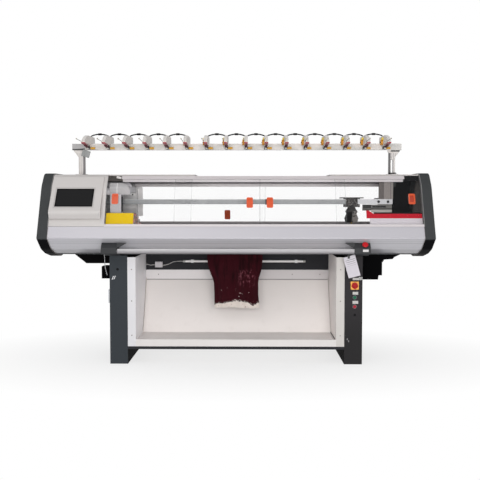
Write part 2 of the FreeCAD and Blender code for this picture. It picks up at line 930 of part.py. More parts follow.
def rail_end_block():
    """The block that clamps the front rail's end, on the bracket's front."""
    front = block(end_block_x, rail_right_x, -end_block_y, -end_block_y + end_block_thickness,
                  rail_low_z, end_block_high_z)
    screws = []
    screw_z = rail_low_z + rail_height / 2
    for x in end_screw_x:
        screws.append(rod((x, -end_block_y - 1, screw_z), (0, 1, 0), end_screw_radius, 5.0))
    return front.cut(screws)


def rail_spacers():
    """The blocks that hold the rail ends apart, under the right bracket."""
    face_y = end_block_y - end_block_thickness
    sides = [-face_y] + [y + s * rail_thickness / 2 for y in rail_y for s in (-1, 1)] + [face_y]
    spacers = []
    for y0, y1 in zip(sides[::2], sides[1::2]):
        spacers.append(block(bracket_left_x, rail_right_x, y0, y1, rail_low_z, rail_low_z + rail_height))
    return spacers


def slotted_block():
    """The slotted bar under the clamp block, with a tongue at its left."""
    y0 = -end_block_y + end_block_thickness
    bar = block(bracket_left_x, slot_block_right_x, y0 + 4, y0 + 26, slot_block_low_z, rail_low_z)
    face = block(slot_block_left_x, slot_block_right_x, y0 - 4, y0 + 4, slot_block_low_z, slot_block_high_z)
    tongue = block(tongue_left_x, slot_block_left_x + 2, y0 - 2, y0 + 3.5, tongue_low_z, slot_block_high_z)
    slot = [
        (slot_block_left_x + 8, slot_low_z, 3.0),
        (slot_block_right_x - 42, slot_low_z, 3.0),
        (slot_block_right_x - 42, slot_high_z, 3.0),
        (slot_block_left_x + 8, slot_high_z, 3.0),
    ]
    return bar.fuse([face, tongue]).cut(along_y(slot, y0 - 5, y0 - 4 + slot_depth)).removeSplitter()


# ================= Guards =================

def guard(limits, z0, z1, inset):
    return slope_slab(limits[0], limits[1], z0, z1, inset, inset + guard_thickness)


def bumper_band():
    """The red band, with a horn at its left end."""
    left_x, right_x = bumper_x
    face = [
        (left_x, bumper_low_z),
        (right_x, bumper_low_z),
        (right_x, bumper_high_z),
        (left_x + bumper_horn_run, bumper_high_z),
        (left_x + bumper_horn_length, bumper_horn_z),
        (left_x, bumper_horn_z),
    ]
    slab = guard(bumper_x, bumper_low_z, bumper_horn_z, guard_inset)
    return slab.common(along_y(face, -crease_y, -beam_outer_y))


def guard_strip():
    """The dark strip that stands on the red band."""
    return guard((bumper_x[0] + bumper_horn_run, bumper_x[1]), bumper_high_z, strip_high_z, guard_inset)


def guard_feet():
    """The brackets that carry both guards, fixed to the base's front ledge."""
    feet = []
    low = track_high_z
    inset = guard_inset + guard_thickness
    for limits in (left_guard_x, right_guard_x):
        for x0 in (limits[0] + guard_foot_length, limits[1] - 2 * guard_foot_length):
            feet.append(along_x([
                (-slope_y(low, inset), low),
                (-slope_y(low + guard_foot_height, inset), low + guard_foot_height),
                (-ledge_y, way_z + guard_foot_height / 2),
                (-ledge_y, (way_z + ledge_z) / 2),
                (-ledge_y - guard_foot_height / 2, (way_z + ledge_z) / 2),
            ], x0, x0 + guard_foot_length))
    return feet


def yarn_clamps():
    """A fan of clamp fingers on one base, beside the left guard."""
    fingers = []
    clamp_left_x = left_guard_x[1]
    base = slope_slab(clamp_left_x, clamp_left_x + clamp_count * clamp_pitch, seam_z,
                      seam_z + clamp_base_height, guard_inset, guard_inset + clamp_base_depth)
    for i in range(clamp_count):
        x = clamp_left_x + (i + 0.15) * clamp_pitch
        top = clamp_top_z - clamp_step * i * i
        fingers.append(slope_slab(x, x + 0.6 * clamp_pitch, seam_z + clamp_base_height - 1, top,
                                  guard_inset + 4, guard_inset + 4 + clamp_depth))
    return base.fuse(fingers).removeSplitter()


def inner_wall():
    """The dark upright sheet inside the right end."""
    return block(wall_left_x, cap_inner_x, beam_outer_y, beam_outer_y + sheet, inner_wall_low_z, top_track_low_z)


# ================= Legs, fabric box and crossbars =================

def leg():
    """The right leg: a welded cabinet, open at the back."""
    y = leg_depth / 2
    body = block(leg_inner_x, leg_outer_x, -y, y, 0, base_z)
    hollow = block(leg_inner_x + leg_wall, leg_outer_x - leg_wall, -y + leg_wall, y + 1, leg_wall, base_z - leg_wall)
    return body.cut(hollow)


def leg_back():
    """The sheet that closes the right leg's back, let in between its walls."""
    y = leg_depth / 2
    return block(leg_inner_x + leg_wall, leg_outer_x - leg_wall, y - sheet, y, leg_wall, base_z - leg_wall)


def crossbars():
    y = leg_depth / 2
    front = block(-leg_inner_x, leg_inner_x, -y, -y + crossbar_depth, crossbar_low_z, crossbar_top_z)
    rear = block(-leg_inner_x, leg_inner_x, y - 2 * crossbar_depth, y - crossbar_depth, crossbar_low_z,
                 crossbar_top_z)
    return [front, rear]


def fabric_box():
    """The tray that catches the fabric: lip, floor, slanted back and top strip in one sheet."""
    y = leg_depth / 2
    slope_top_y = dark_panel_y - sheet
    line = [
        (-y, crossbar_top_z),
        (-y, lip_top_z),
        (-y + lip_width, lip_top_z),
        (-y + lip_width, box_floor_z),
        (slope_foot_y, box_floor_z),
        (slope_top_y, slope_top_z),
        (slope_top_y, box_back_top_z),
    ]
    section = sheet_line(line, -sheet)
    return along_x(section, -box_half_length, box_half_length)


def side_panel():
    """The right side of the fabric box, with its front flange."""
    y = leg_depth / 2
    line = [(leg_inner_x, -y), (box_half_length + seat_gap, -y), (box_half_length + seat_gap, dark_panel_y)]
    return along_z(sheet_line(line, -sheet), crossbar_top_z, side_top_z)


def dark_panel():
    return block(-leg_inner_x, leg_inner_x, dark_panel_y, dark_panel_y + sheet, box_back_top_z - 30, base_z)


# ================= Start bar, stop button and switches =================

def start_bar():
    tube = rod((-bar_half_length, -bar_y, bar_z), (1, 0, 0), bar_radius, 2 * bar_half_length)
    reach = bracket_inner_x + bar_journal_length
    shaft = rod((-reach, -bar_y, bar_z), (1, 0, 0), bar_journal_radius, 2 * reach)
    return tube.fuse(shaft).removeSplitter()


def bar_bracket():
    """The right moulding that carries the bar, cut to the apron's underside."""
    y = leg_depth / 2
    points = [
        (-bracket_front_y, bracket_low_z, 10.0),
        (-bracket_front_y, bracket_high_z - bracket_chamfer, 8.0),
        (-bracket_front_y + bracket_chamfer, bracket_high_z, 6.0),
        (-belly_y, bracket_high_z),
        (-keel_y, bracket_high_z),
        (-keel_y, base_z),
        (-y, base_z),
        (-y - bracket_lip, bracket_low_z, 20.0),
    ]
    body = along_x(points, bracket_inner_x, bracket_outer_x)
    cheek = along_y([
        (bracket_inner_x - cheek_length, bracket_high_z - 3),
        (bracket_inner_x + 1, bracket_high_z),
        (bracket_inner_x + 1, cheek_low_z),
    ], -cheek_low_y, -cheek_high_y)
    cheek = cheek.cut(rod((bracket_inner_x - cheek_length - 1, -bar_y, bar_z), (1, 0, 0),
                          bar_radius + bar_end_gap, cheek_length + 1))
    body = body.fuse(cheek)
    body = body.cut(head_solid(skin_inset - seat_gap, bracket_inner_x - cheek_length - 1, bracket_outer_x + 1))
    body = max(body.Solids, key=lambda s: s.Volume)
    bore = rod((bracket_inner_x - 1, -bar_y, bar_z), (1, 0, 0), bar_journal_radius + journal_gap,
               bar_journal_length + 3)
    return body.cut(bore)


def stop_axis():
    """Middle of the bracket's chamfer, and the direction out of it."""
    middle = (stop_x, -bracket_front_y + bracket_chamfer / 2, bracket_high_z - bracket_chamfer / 2)
    return middle, (0.0, -1 / root2, 1 / root2)


def stop_bore():
    middle, out = stop_axis()
    back = [m - stop_stem_sink * o for m, o in zip(middle, out)]
    return rod(back, out, stop_stem_radius + slide_gap, 2 * stop_stem_sink)


def stop_button():
    """The mushroom head and its stem; it stands its travel clear of the bracket."""
    middle, out = stop_axis()
    foot = [m - (stop_stem_sink - stop_travel - 1) * o for m, o in zip(middle, out)]
    stem = rod(foot, out, stop_stem_radius, stop_stem_sink + 2)
    seat = [m + (stop_travel + 1) * o for m, o in zip(middle, out)]
    head = rod(seat, out, stop_radius, stop_head_height)
    rims = [e for e in head.Edges if isinstance(e.Curve, Part.Circle)]
    head = head.makeChamfer(stop_head_bevel, [max(rims, key=lambda e: e.Curve.Center.z)])
    return head.fuse(stem).removeSplitter()


leg_front_y = -leg_depth / 2


def switch_plate_solid():
    half = switch_plate / 2
    frame = [
        (switch_x - half, switch_z - half, 4.0),
        (switch_x + half, switch_z - half, 4.0),
        (switch_x + half, switch_z + half, 4.0),
        (switch_x - half, switch_z + half, 4.0),
    ]
    plate = along_y(frame, leg_front_y - switch_plate_thickness, leg_front_y)
    bore = rod((switch_x, leg_front_y - switch_plate_thickness - 1, switch_z), (0, 1, 0), 8.0 + slide_gap, 10.0)
    return plate.cut(bore)


def switch_knob():
    """The rotary handle with its raised grip."""
    base_y0 = leg_front_y - switch_plate_thickness - slide_gap
    disc = rod((switch_x, base_y0, switch_z), (0, -1, 0), knob_radius, knob_depth / 3)
    grip = [
        (switch_x - 7, switch_z - knob_radius + 1, 3.0),
        (switch_x + 7, switch_z - knob_radius + 1, 3.0),
        (switch_x + 7, switch_z + knob_radius - 1, 3.0),
        (switch_x - 7, switch_z + knob_radius - 1, 3.0),
    ]
    grip_solid = along_y(grip, base_y0 - knob_depth, base_y0 - knob_depth / 3 + 1)
    stem = rod((switch_x, base_y0 - 1, switch_z), (0, 1, 0), 8.0, switch_plate_thickness + leg_wall + 4)
    return disc.fuse([grip_solid, stem]).removeSplitter()


def button_rings():
    rings = []
    for z in button_z.values():
        ring = rod((switch_x, leg_front_y, z), (0, -1, 0), ring_radius, ring_depth)
        rings.append(ring.cut(rod((switch_x, leg_front_y + 1, z), (0, -1, 0), button_radius + slide_gap, 10.0)))
    return group(rings)


def push_button(z):
    length = button_stand + leg_wall + 6
    body = rod((switch_x, leg_front_y - button_stand, z), (0, 1, 0), button_radius, length)
    return body


def pierce_leg(shape):
    """The holes in the right leg's front for the switch and the buttons."""
    holes = [rod((switch_x, leg_front_y - 1, switch_z), (0, 1, 0), 8.0 + slide_gap, leg_wall + 2)]
    for z in button_z.values():
        holes.append(rod((switch_x, leg_front_y - 1, z), (0, 1, 0), button_radius + slide_gap, leg_wall + 2))
    return shape.cut(holes)


# ================= Lamp =================

def lamp():
    return rod((lamp_left_x, lamp_y, lamp_z), (1, 0, 0), lamp_radius, lamp_right_x - lamp_left_x)


def lamp_clips():
    clips = []
    mouth_y = lamp_y - lamp_radius / 3
    mouth = 0.7 * lamp_radius
    for x in (lamp_left_x + 3 * clip_length, lamp_right_x - 4 * clip_length):
        clip = block(x, x + clip_length, lamp_y - lamp_radius - 2, dark_panel_y, lamp_z - clip_height / 2,
                     lamp_z + clip_height / 2)
        clip = clip.cut(rod((x - 1, lamp_y, lamp_z), (1, 0, 0), lamp_radius + clip_gap, clip_length + 2))
        clips.append(clip.cut(block(x - 1, x + clip_length + 1, lamp_y - lamp_radius - 3, mouth_y,
                                    lamp_z - mouth, lamp_z + mouth)))
    return clips


def lamp_junction():
    return block(junction_left_x, junction_right_x, lamp_y - junction_depth, dark_panel_y, junction_low_z,
                 junction_high_z)


def tube(points, radius):
    """A lead of eight-sided section along straight runs and tangent arcs in an XZ plane."""
    line = path(points, False)
    start = V(*points[0][:3])
    across = (V(*points[1][:3]) - start).normalize().cross(V(0, 1, 0))
    rim = []
    for i in range(9):
        turn = math.radians(45.0 * i + 22.5)
        rim.append(start + across * (radius * math.cos(turn)) + V(0, radius * math.sin(turn), 0))
    return line.makePipeShell([Part.makePolygon(rim)], True, False)


def arc_radius(a, b, c, share=0.45):
    """The largest radius that a corner's two runs allow."""
    before = V(*a) - V(*b)
    after = V(*c) - V(*b)
    half = before.getAngle(after) / 2
    return share * min(before.Length, after.Length) * math.tan(half)


def rounded_route(points):
    route = [points[0] + (0.0,)]
    for a, b, c in zip(points, points[1:], points[2:]):
        route.append(b + (arc_radius(a, b, c),))
    route.append(points[-1] + (0.0,))
    return route


def lamp_lead():
    """Two stretches: side panel to junction, and junction to lamp."""
    y = lamp_y
    wall_x = -box_half_length - seat_gap
    first = [
        (wall_x, y, lead_wall_z),
        (wall_x + lead_run, y, lead_wall_z),
        (wall_x + 2 * lead_run, y, lead_sag_z),
        (junction_left_x - lead_run, y, lead_in_z),
        (junction_left_x, y, lead_in_z),
    ]
    second = [
        (junction_right_x, y, lead_out_z),
        (junction_right_x + lead_run, y, lead_out_z),
        (junction_right_x + 3 * lead_run, y, lead_rise_z),
        (junction_right_x + 5 * lead_run, y, lamp_z),
        (lamp_left_x, y, lamp_z),
    ]
    return group([tube(rounded_route(first), lead_radius), tube(rounded_route(second), lead_radius)])


# ================= Fabric =================

def fabric_wire(z, left_x, right_x, wave):
    """One level of the cloth: a wavy front line and its twin, a thickness behind."""
    step = (right_x - left_x) / (2 * fabric_waves)

    def line(y):
        points = []
        for i in range(2 * fabric_waves + 1):
            x = left_x + i * step
            points.append(V(x, y, z))
            if i < 2 * fabric_waves:
                swing = wave if i % 2 == 0 else -wave
                points.append(V(x + step / 2, y + swing, z))
        return points

    front = line(-fabric_thickness / 2)
    back = line(fabric_thickness / 2)[::-1]
    edges = []
    for side in (front, back):
        for i in range(0, len(side) - 2, 2):
            edges.append(Part.Arc(side[i], side[i + 1], side[i + 2]).toShape())
        other = back[0] if side is front else front[0]
        edges.append(Part.LineSegment(side[-1], other).toShape())
    return Part.Wire(edges)


def fabric():
    wires = [fabric_wire(z, x0, x1, wave) for z, x0, x1, wave in fabric_sections]
    return Part.makeLoft(wires, True, True)


# ================= Yarn rail and tension units =================

def yarn_rail():
    """An extruded channel, open at the back."""
    half = yarn_rail_depth / 2
    points = sheet_line([
        (half, yarn_rail_high_z),
        (-half, yarn_rail_high_z),
        (-half, yarn_rail_low_z),
        (half, yarn_rail_low_z),
    ], yarn_rail_wall)
    return along_x(points, -yarn_rail_half_length, yarn_rail_half_length)


def rail_post(slotted):
    """The right post: a foot plate, the upright and a gusseted head under the rail."""
    top = yarn_rail_low_z
    foot_z = head_top_z - skin_inset
    middle_x = (post_inner_x + post_outer_x) / 2
    foot = block(middle_x - post_foot_length / 2, middle_x + post_foot_length / 2,
                 -post_foot_depth / 2, post_foot_depth / 2, foot_z, foot_z + post_foot_thickness)
    upright = block(post_inner_x, post_outer_x, -post_depth / 2, post_depth / 2, foot_z, top)
    gusset = along_y([
        (post_inner_x - 6, top),
        (post_inner_x - 6, top - 14),
        (post_outer_x, top - 52),
        (post_outer_x + 34, top - 8),
        (post_outer_x + 34, top),
    ], -post_depth / 2, post_depth / 2)
    post = upright.fuse([foot, gusset]).removeSplitter()
    if slotted:
        post = post.cut(block(middle_x - post_slot / 2, middle_x + post_slot / 2, -post_depth, post_depth,
                              foot_z + post_slot, top - post_slot_end))
    return post


unit_x = [(i - (unit_count - 1) / 2) * unit_pitch for i in range(unit_count)]


def tension_unit(x):
    """A long moulded body over the rail, with its disc pair, yarn guide and spring arm."""
    half = yarn_rail_depth / 2
    points = [
        (unit_rear_y - 40, yarn_rail_high_z),
        (unit_rear_y - 6, yarn_rail_high_z + 12, 14.0),
        (unit_rear_y, unit_high_z, 22.0),
        (-unit_front_y / 2, unit_high_z - 2, 60.0),
        (-unit_front_y + 62, unit_high_z - 18, 60.0),
        (-unit_front_y, unit_nose_z, 5.0),
        (-unit_front_y + 6, unit_belly_z + 4, 4.0),
        (-unit_foot_y - 8, unit_belly_z),
        (-unit_foot_y, unit_low_z, 8.0),
        (-half, unit_low_z),
        (-half, yarn_rail_high_z),
    ]
    body = along_x(points, x - unit_width / 2, x + unit_width / 2)
    disc_x = x - unit_width / 2
    discs = rod((disc_x, -disc_y, disc_z), (-1, 0, 0), disc_radius, disc_thickness)
    guide = rod((x + unit_width / 2, -guide_y, guide_z), (1, 0, 0), guide_radius, guide_length)
    arm = rod((disc_x, -tension_arm_y, tension_arm_z), (-1, 0, 0), tension_arm_radius + 1, 5.0)
    wire = rod((disc_x - 3, -tension_arm_y + 2, tension_arm_z), (0, -1, 0.04), tension_arm_radius,
               tension_arm_reach)
    return body.fuse([discs, guide, arm, wire]).removeSplitter()


def tension_leads():
    """The leads that hop from unit to unit, each up, over and down."""
    leads = []
    for i, (x0, x1) in enumerate(zip(unit_x, unit_x[1:])):
        if i == units_without_lead:
            continue
        start = x0 + unit_width / 2 - 4
        end = x1 - unit_width / 2 + 4
        middle = (start + end) / 2
        points = [
            (start, lead_y, unit_high_z, 0.0),
            (start, lead_y, lead_stand_z, lead_end_round),
            (middle, lead_y, lead_crown_z, lead_crown_round),
            (end, lead_y, lead_stand_z, lead_end_round),
            (end, lead_y, unit_high_z, 0.0),
        ]
        leads.append(tube(points, lead_radius + 0.6))
    return group(leads)


# ================= Housings under the head =================

def left_duct():
    points = [
        (-leg_outer_x, base_z),
        (-leg_outer_x - duct_length, base_z),
        (-leg_outer_x - duct_foot_length, base_z - duct_height),
        (-leg_outer_x, base_z - duct_height),
    ]
    return along_y(points, -duct_depth / 2, duct_depth / 2)


def drive_housing():
    """The stepped cover of the drive, right of the right leg."""
    points = [(leg_outer_x, base_z)]
    for out, drop in housing_steps:
        points.append((leg_outer_x + out, base_z - drop))
    return along_y(points, -duct_depth / 2, duct_depth / 2)


def drive_box():
    """The box under the drive's cover."""
    top_z = base_z - housing_steps[0][1]
    points = [(leg_outer_x, top_z)]
    for out, drop in drive_box_steps:
        points.append((leg_outer_x + out, base_z - drop))
    points.append((leg_outer_x + drive_box_steps[-1][0], top_z))
    return along_y(points, -duct_depth / 2, duct_depth / 2)


def leg_junction_box():
    """The small box on the left leg's outer side."""
    return block(-leg_outer_x - junction_box_length, -leg_outer_x, -junction_box_depth, 0,
                 junction_box_low_z, junction_box_high_z)


# ================= Write the pieces =================

def pieces():
    """Every piece by its name."""
    made = {}
    cap = end_cap()
    made["end_caps"] = group([cap, mirror_x(cap)])
    made["aprons"] = group([apron(), mirror_y(apron())])
    made["console_pod"] = console_pod()
    made["touch_screen"] = touch_screen()
    made["top_covers"] = group([
        console_cover(),
        top_cover(console_right_x, left_cover_right_x, beam_left_x, left_cover_right_x),
        top_cover(right_cover_x, cap_inner_x, right_cover_x, beam_right_x),
    ])
    made["top_beams"] = group([
        top_beam(beam_left_x, front_beam_low_z, front_beam_low_z),
        mirror_y(top_beam(-cap_inner_x, beam_front_low_z, beam_low_z)),
    ])
    tracks = group([
        track(console_right_x, cap_inner_x, track_low_z, track_high_z),
        track(beam_left_x, beam_right_x, top_track_low_z, beam_top_z),
    ])
    made["door_tracks"] = group(tracks.Solids + mirror_y(tracks).Solids)
    for name, left_x in door_left_x.items():
        inset = door_inset[name]
        depth = outer_handle_depth if inset == outer_inset else inner_handle_depth
        made[name] = door(left_x, door_length, inset)
        made[name + "_handle"] = handle(handle_left_x[name], handle_low_z[name], inset, depth)
    for name, left_x in rear_door_left_x.items():
        inset = rear_door_inset[name]
        depth = outer_handle_depth if inset == outer_inset else inner_handle_depth
        made[name] = door(left_x, rear_door_length, inset, True)
        made[name + "_handle"] = handle(rear_handle_left_x[name], rear_handle_low_z, inset, depth, True)
    made["base_casting"] = group([base_half(), mirror_y(base_half())] + roller_bearings())
    made["carriage_ways"] = carriage_ways()
    made["front_bed"] = bed(0.0)
    made["rear_bed"] = mirror_y(bed(slide_gap))
    made["front_roller"] = roller(-roller_y)
    made["rear_roller"] = roller(roller_y)
    made["carriage"] = group([carriage_bow(), carriage_cover(), carriage_plate()])
    made["cam_boxes"] = group([cam_box(), mirror_y(cam_box())])
    made["feeder_rails"] = feeder_rails()
    made["rail_brackets"] = group([rail_bracket(bracket_left_x), rail_bracket(left_bracket_x), slotted_block()])
    made["rail_end_blocks"] = group([rail_end_block()] + rail_spacers())
    for i, y in enumerate(rail_y):
        made["yarn_carrier_" + str(i + 1)] = carrier(carrier_x, y, i)
    made["left_guard"] = guard(left_guard_x, seam_z, left_guard_top_z, guard_inset)
    made["right_guard"] = guard(right_guard_x, seam_z, right_guard_top_z, guard_inset)
    made["bumper_band"] = bumper_band()
    made["yarn_clamps"] = yarn_clamps()
    beam_ends = [
        beam_end(-cap_inner_x, beam_left_x, front_beam_low_z, front_beam_low_z),
        beam_end(beam_right_x, cap_inner_x, front_beam_low_z, front_beam_low_z),
        mirror_y(beam_end(beam_right_x, cap_inner_x, beam_front_low_z, beam_low_z)),
    ]
    made["inner_sheets"] = group(guard_feet() + [inner_wall(), guard_strip()] + beam_ends)
    made["legs"] = group([mirror_x(leg()), pierce_leg(leg())])
    made["frame_sheets"] = group([leg_back(), mirror_x(leg_back()), dark_panel()] + crossbars())
    made["fabric_box"] = fabric_box()
    made["side_panels"] = group([side_panel(), mirror_x(side_panel())])
    made["start_bar"] = start_bar()
    made["bar_brackets"] = group([mirror_x(bar_bracket()), bar_bracket().cut(stop_bore())])
    made["stop_button"] = stop_button()
    made["switch_plate"] = switch_plate_solid()
    made["switch_knob"] = switch_knob()
    made["button_rings"] = button_rings()
    for name, z in button_z.items():
        made[name] = push_button(z)
    made["lamp"] = group([lamp()] + lamp_clips())
    made["lamp_junction"] = lamp_junction()
    made["lamp_lead"] = lamp_lead()
    made["fabric"] = fabric()
    made["yarn_rail"] = group([yarn_rail(), rail_post(True), mirror_x(rail_post(False))])
    made["tension_units"] = group([tension_unit(x) for x in unit_x])
    made["tension_leads"] = tension_leads()
    made["drive_housings"] = group([left_duct(), drive_housing(), drive_box(), leg_junction_box()])
    return made


os.makedirs("parts", exist_ok=True)
for piece_name, shape in pieces().items():
    shape.exportStep("parts/" + piece_name + ".step")
    box = shape.BoundBox
    print(piece_name, len(shape.Solids), shape.isValid(), "volume", round(shape.Volume / 1000, 1), "cm3",
          [round(n) for n in (box.XMin, box.XMax, box.YMin, box.YMax, box.ZMin, box.ZMax)])
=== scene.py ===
"""Flat knitting machine: finishes, soft goods, small fittings, light and camera.

Every length is in metres, in the machine's own frame: X along the needle beds,
-Y towards the operator, +Z up, with the origin on the floor.
"""
import math

import bmesh
import bpy
from mathutils import Matrix, Vector


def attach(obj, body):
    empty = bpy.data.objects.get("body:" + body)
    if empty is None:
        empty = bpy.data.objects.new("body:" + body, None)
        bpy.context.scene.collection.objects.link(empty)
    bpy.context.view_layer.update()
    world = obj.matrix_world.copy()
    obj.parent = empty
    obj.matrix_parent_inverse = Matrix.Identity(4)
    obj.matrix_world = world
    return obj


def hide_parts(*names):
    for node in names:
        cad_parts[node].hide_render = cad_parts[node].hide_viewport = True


bl_info = {
    "name": "Flat knitting machine",
    "version": (1, 0, 0),
    "blender": (4, 5, 0),
    "location": "View3D > Sidebar > Knitting",
    "description": "Dresses the packed flat knitting machine with finishes, cloth and small fittings",
    "category": "Object",
}

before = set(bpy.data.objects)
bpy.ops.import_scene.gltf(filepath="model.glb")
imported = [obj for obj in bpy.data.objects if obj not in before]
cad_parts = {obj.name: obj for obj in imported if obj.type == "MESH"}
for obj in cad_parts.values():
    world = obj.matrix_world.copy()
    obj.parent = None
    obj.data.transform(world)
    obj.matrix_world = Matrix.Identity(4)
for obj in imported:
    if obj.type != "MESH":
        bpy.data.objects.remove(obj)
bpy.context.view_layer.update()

# The head's front slope: its foot, and how far it leans back for each metre of height.
SLOPE_FOOT_Y = -0.400
SLOPE_FOOT_Z = 0.878
SLOPE_LEAN = 150.0 / 360.0

# The legs: their front faces, and the width inside which only their inner faces lie.
LEG_FRONT = -0.273
LEG_INNER = 0.7524


# ---------------------------------------------------------------- colour helpers

def tone(red, green, blue):
    """A colour given in 0 to 255, as linear values."""
    def linear(value):
        value /= 255.0
        return value / 12.92 if value <= 0.04045 else ((value + 0.055) / 1.055) ** 2.4
    return (linear(red), linear(green), linear(blue))


def colour(name, words, value):
    return bpy.props.FloatVectorProperty(
        name=name, description=words, default=value, subtype="COLOR", size=3, min=0.0, max=1.0)


def length(name, words, value):
    return bpy.props.FloatProperty(
        name=name, description=words, default=value, unit="LENGTH", subtype="DISTANCE")


def strength(name, words, value, unit="NONE"):
    return bpy.props.FloatProperty(name=name, description=words, default=value, min=0.0, unit=unit)


def turning(name, words, degrees):
    return bpy.props.FloatProperty(
        name=name, description=words, default=math.radians(degrees), unit="ROTATION", subtype="ANGLE")


# ---------------------------------------------------------------- settings

class MachineColours(bpy.types.PropertyGroup):
    """Colours of the machine's finishes."""
    cap: colour("End caps", "Moulded caps at both ends of the head", tone(66, 68, 69))
    # Painted shade: the caps' colour below their crease, darker where they face down.
    cap_underside_shade: colour("End caps, underside", "The caps below their crease", tone(9, 9, 12))
    apron: colour("Aprons", "Silver paint of the lower covers", tone(184, 182, 188))
    # Painted light: the aprons' underside below their crease, lifted against the shade it lies in.
    apron_underside_painted_light: colour("Aprons, underside", "The aprons below their crease", tone(192, 191, 196))
    cover: colour("Covers", "Warm grey paint of the upper covers", tone(197, 193, 191))
    beam: colour("Top beams", "Paint of the beams along the top", tone(212, 207, 209))
    handle: colour("Door handles", "Orange plastic of the door handles", tone(208, 80, 34))
    yellow: colour("Yellow sheet", "Paint of the left guard", tone(222, 186, 4))
    red: colour("Red band", "The band on the right guard", tone(186, 18, 38))
    leg: colour("Legs", "Powder coat of the cabinet legs", tone(57, 61, 65))
    box: colour("Fabric box", "Warm white of the fabric box", tone(241, 235, 232))
    cloth: colour("Knitted cloth", "Dark red yarn of the cloth", tone(56, 9, 19))
    hem: colour("Hem", "Cream yarn of the cloth's open hem", tone(240, 230, 222))
    disc: colour("Tension discs", "Yellow plastic of the tension discs", tone(212, 146, 40))
    knob: colour("Guide knobs", "Amber plastic of the yarn guides", tone(214, 158, 40))
    lever: colour("Levers", "Red levers of the tension units", tone(150, 28, 50))


class MachineSizes(bpy.types.PropertyGroup):
    """Sizes of what the scene adds to the machine."""
    unit_pitch: length("Unit pitch", "Distance between two tension units", 0.1408)
    unit_half: length("Unit half width", "Half of a tension unit's width", 0.011)
    disc_y: length("Disc place", "Place of the tension discs in front of the rail's middle", -0.040)
    disc_z: length("Disc height", "Height of the tension discs", 1.552)
    cloth_top: length("Cloth top", "Height where the cloth leaves the beds", 0.955)
    cloth_foot: length("Cloth foot", "Height of the cloth's lower edge", 0.350)
    hem_height: length("Hem height", "Height of the open hem", 0.042)
    stitch: length("Stitch", "Width of one stitch column in the knitted cloth", 0.0042)


class StageSettings(bpy.types.PropertyGroup):
    """Light, floor and camera."""
    focal: bpy.props.FloatProperty(
        name="Lens", description="Focal length of the camera", default=57.7, unit="CAMERA", min=10.0)
    eye: bpy.props.FloatVectorProperty(
        name="Eye", description="Where the camera stands", default=(0.098, -5.578, 1.141),
        subtype="TRANSLATION", size=3)
    pitch: turning("Pitch", "How far the camera looks down", 2.98)
    yaw: turning("Yaw", "How far the camera turns towards the console", 0.745)
    world_side: strength("Side light", "Strength of the even light from the sides", 0.27)
    world_top: strength("Top light", "How much stronger the light from above is", 0.16)
    world_front: strength("Front light", "How much stronger the light in front is", 0.26)
    key: strength("Key lamp", "Power of the large lamp above the operator", 30.0, "POWER")
    fill: strength("Fill lamp", "Power of the large low lamp in front", 185.0, "POWER")


# ---------------------------------------------------------------- shader helpers

class Signal:
    """A shader value: arithmetic on it adds the Math nodes."""

    def __init__(self, tree, socket):
        self.tree = tree
        self.socket = socket

    def maths(self, operation, *values):
        """A Math node fed with these values."""
        node = self.tree.nodes.new("ShaderNodeMath")
        node.operation = operation
        for slot, value in zip(node.inputs, values):
            if isinstance(value, Signal):
                self.tree.links.new(value.socket, slot)
            else:
                slot.default_value = value
        return Signal(self.tree, node.outputs[0])

    def __add__(self, other):
        return self.maths("ADD", self, other)

    __radd__ = __add__

    def __sub__(self, other):
        return self.maths("SUBTRACT", self, other)

    def __rsub__(self, other):
        return self.maths("SUBTRACT", other, self)

    def __mul__(self, other):
        return self.maths("MULTIPLY", self, other)

    __rmul__ = __mul__

    def __truediv__(self, other):
        return self.maths("DIVIDE", self, other)

    def __gt__(self, other):
        return self.maths("GREATER_THAN", self, other)

    def __lt__(self, other):
        return self.maths("LESS_THAN", self, other)

    def __abs__(self):
        return self.maths("ABSOLUTE", self)

    def sine(self):
        return self.maths("SINE", self)

    def fract(self):
        """What is left of the value past its whole number."""
        return self.maths("FRACT", self)

    def within(self, low, high):
        """1 between two values, 0 outside them."""
        return (self > low) * (self < high)

    def ramp(self, low, high):
        """0 below low, 1 above high, straight between."""
        node = self.tree.nodes.new("ShaderNodeMapRange")
        node.clamp = True
        self.tree.links.new(self.socket, node.inputs["Value"])
        node.inputs["From Min"].default_value = low
        node.inputs["From Max"].default_value = high
        return Signal(self.tree, node.outputs["Result"])


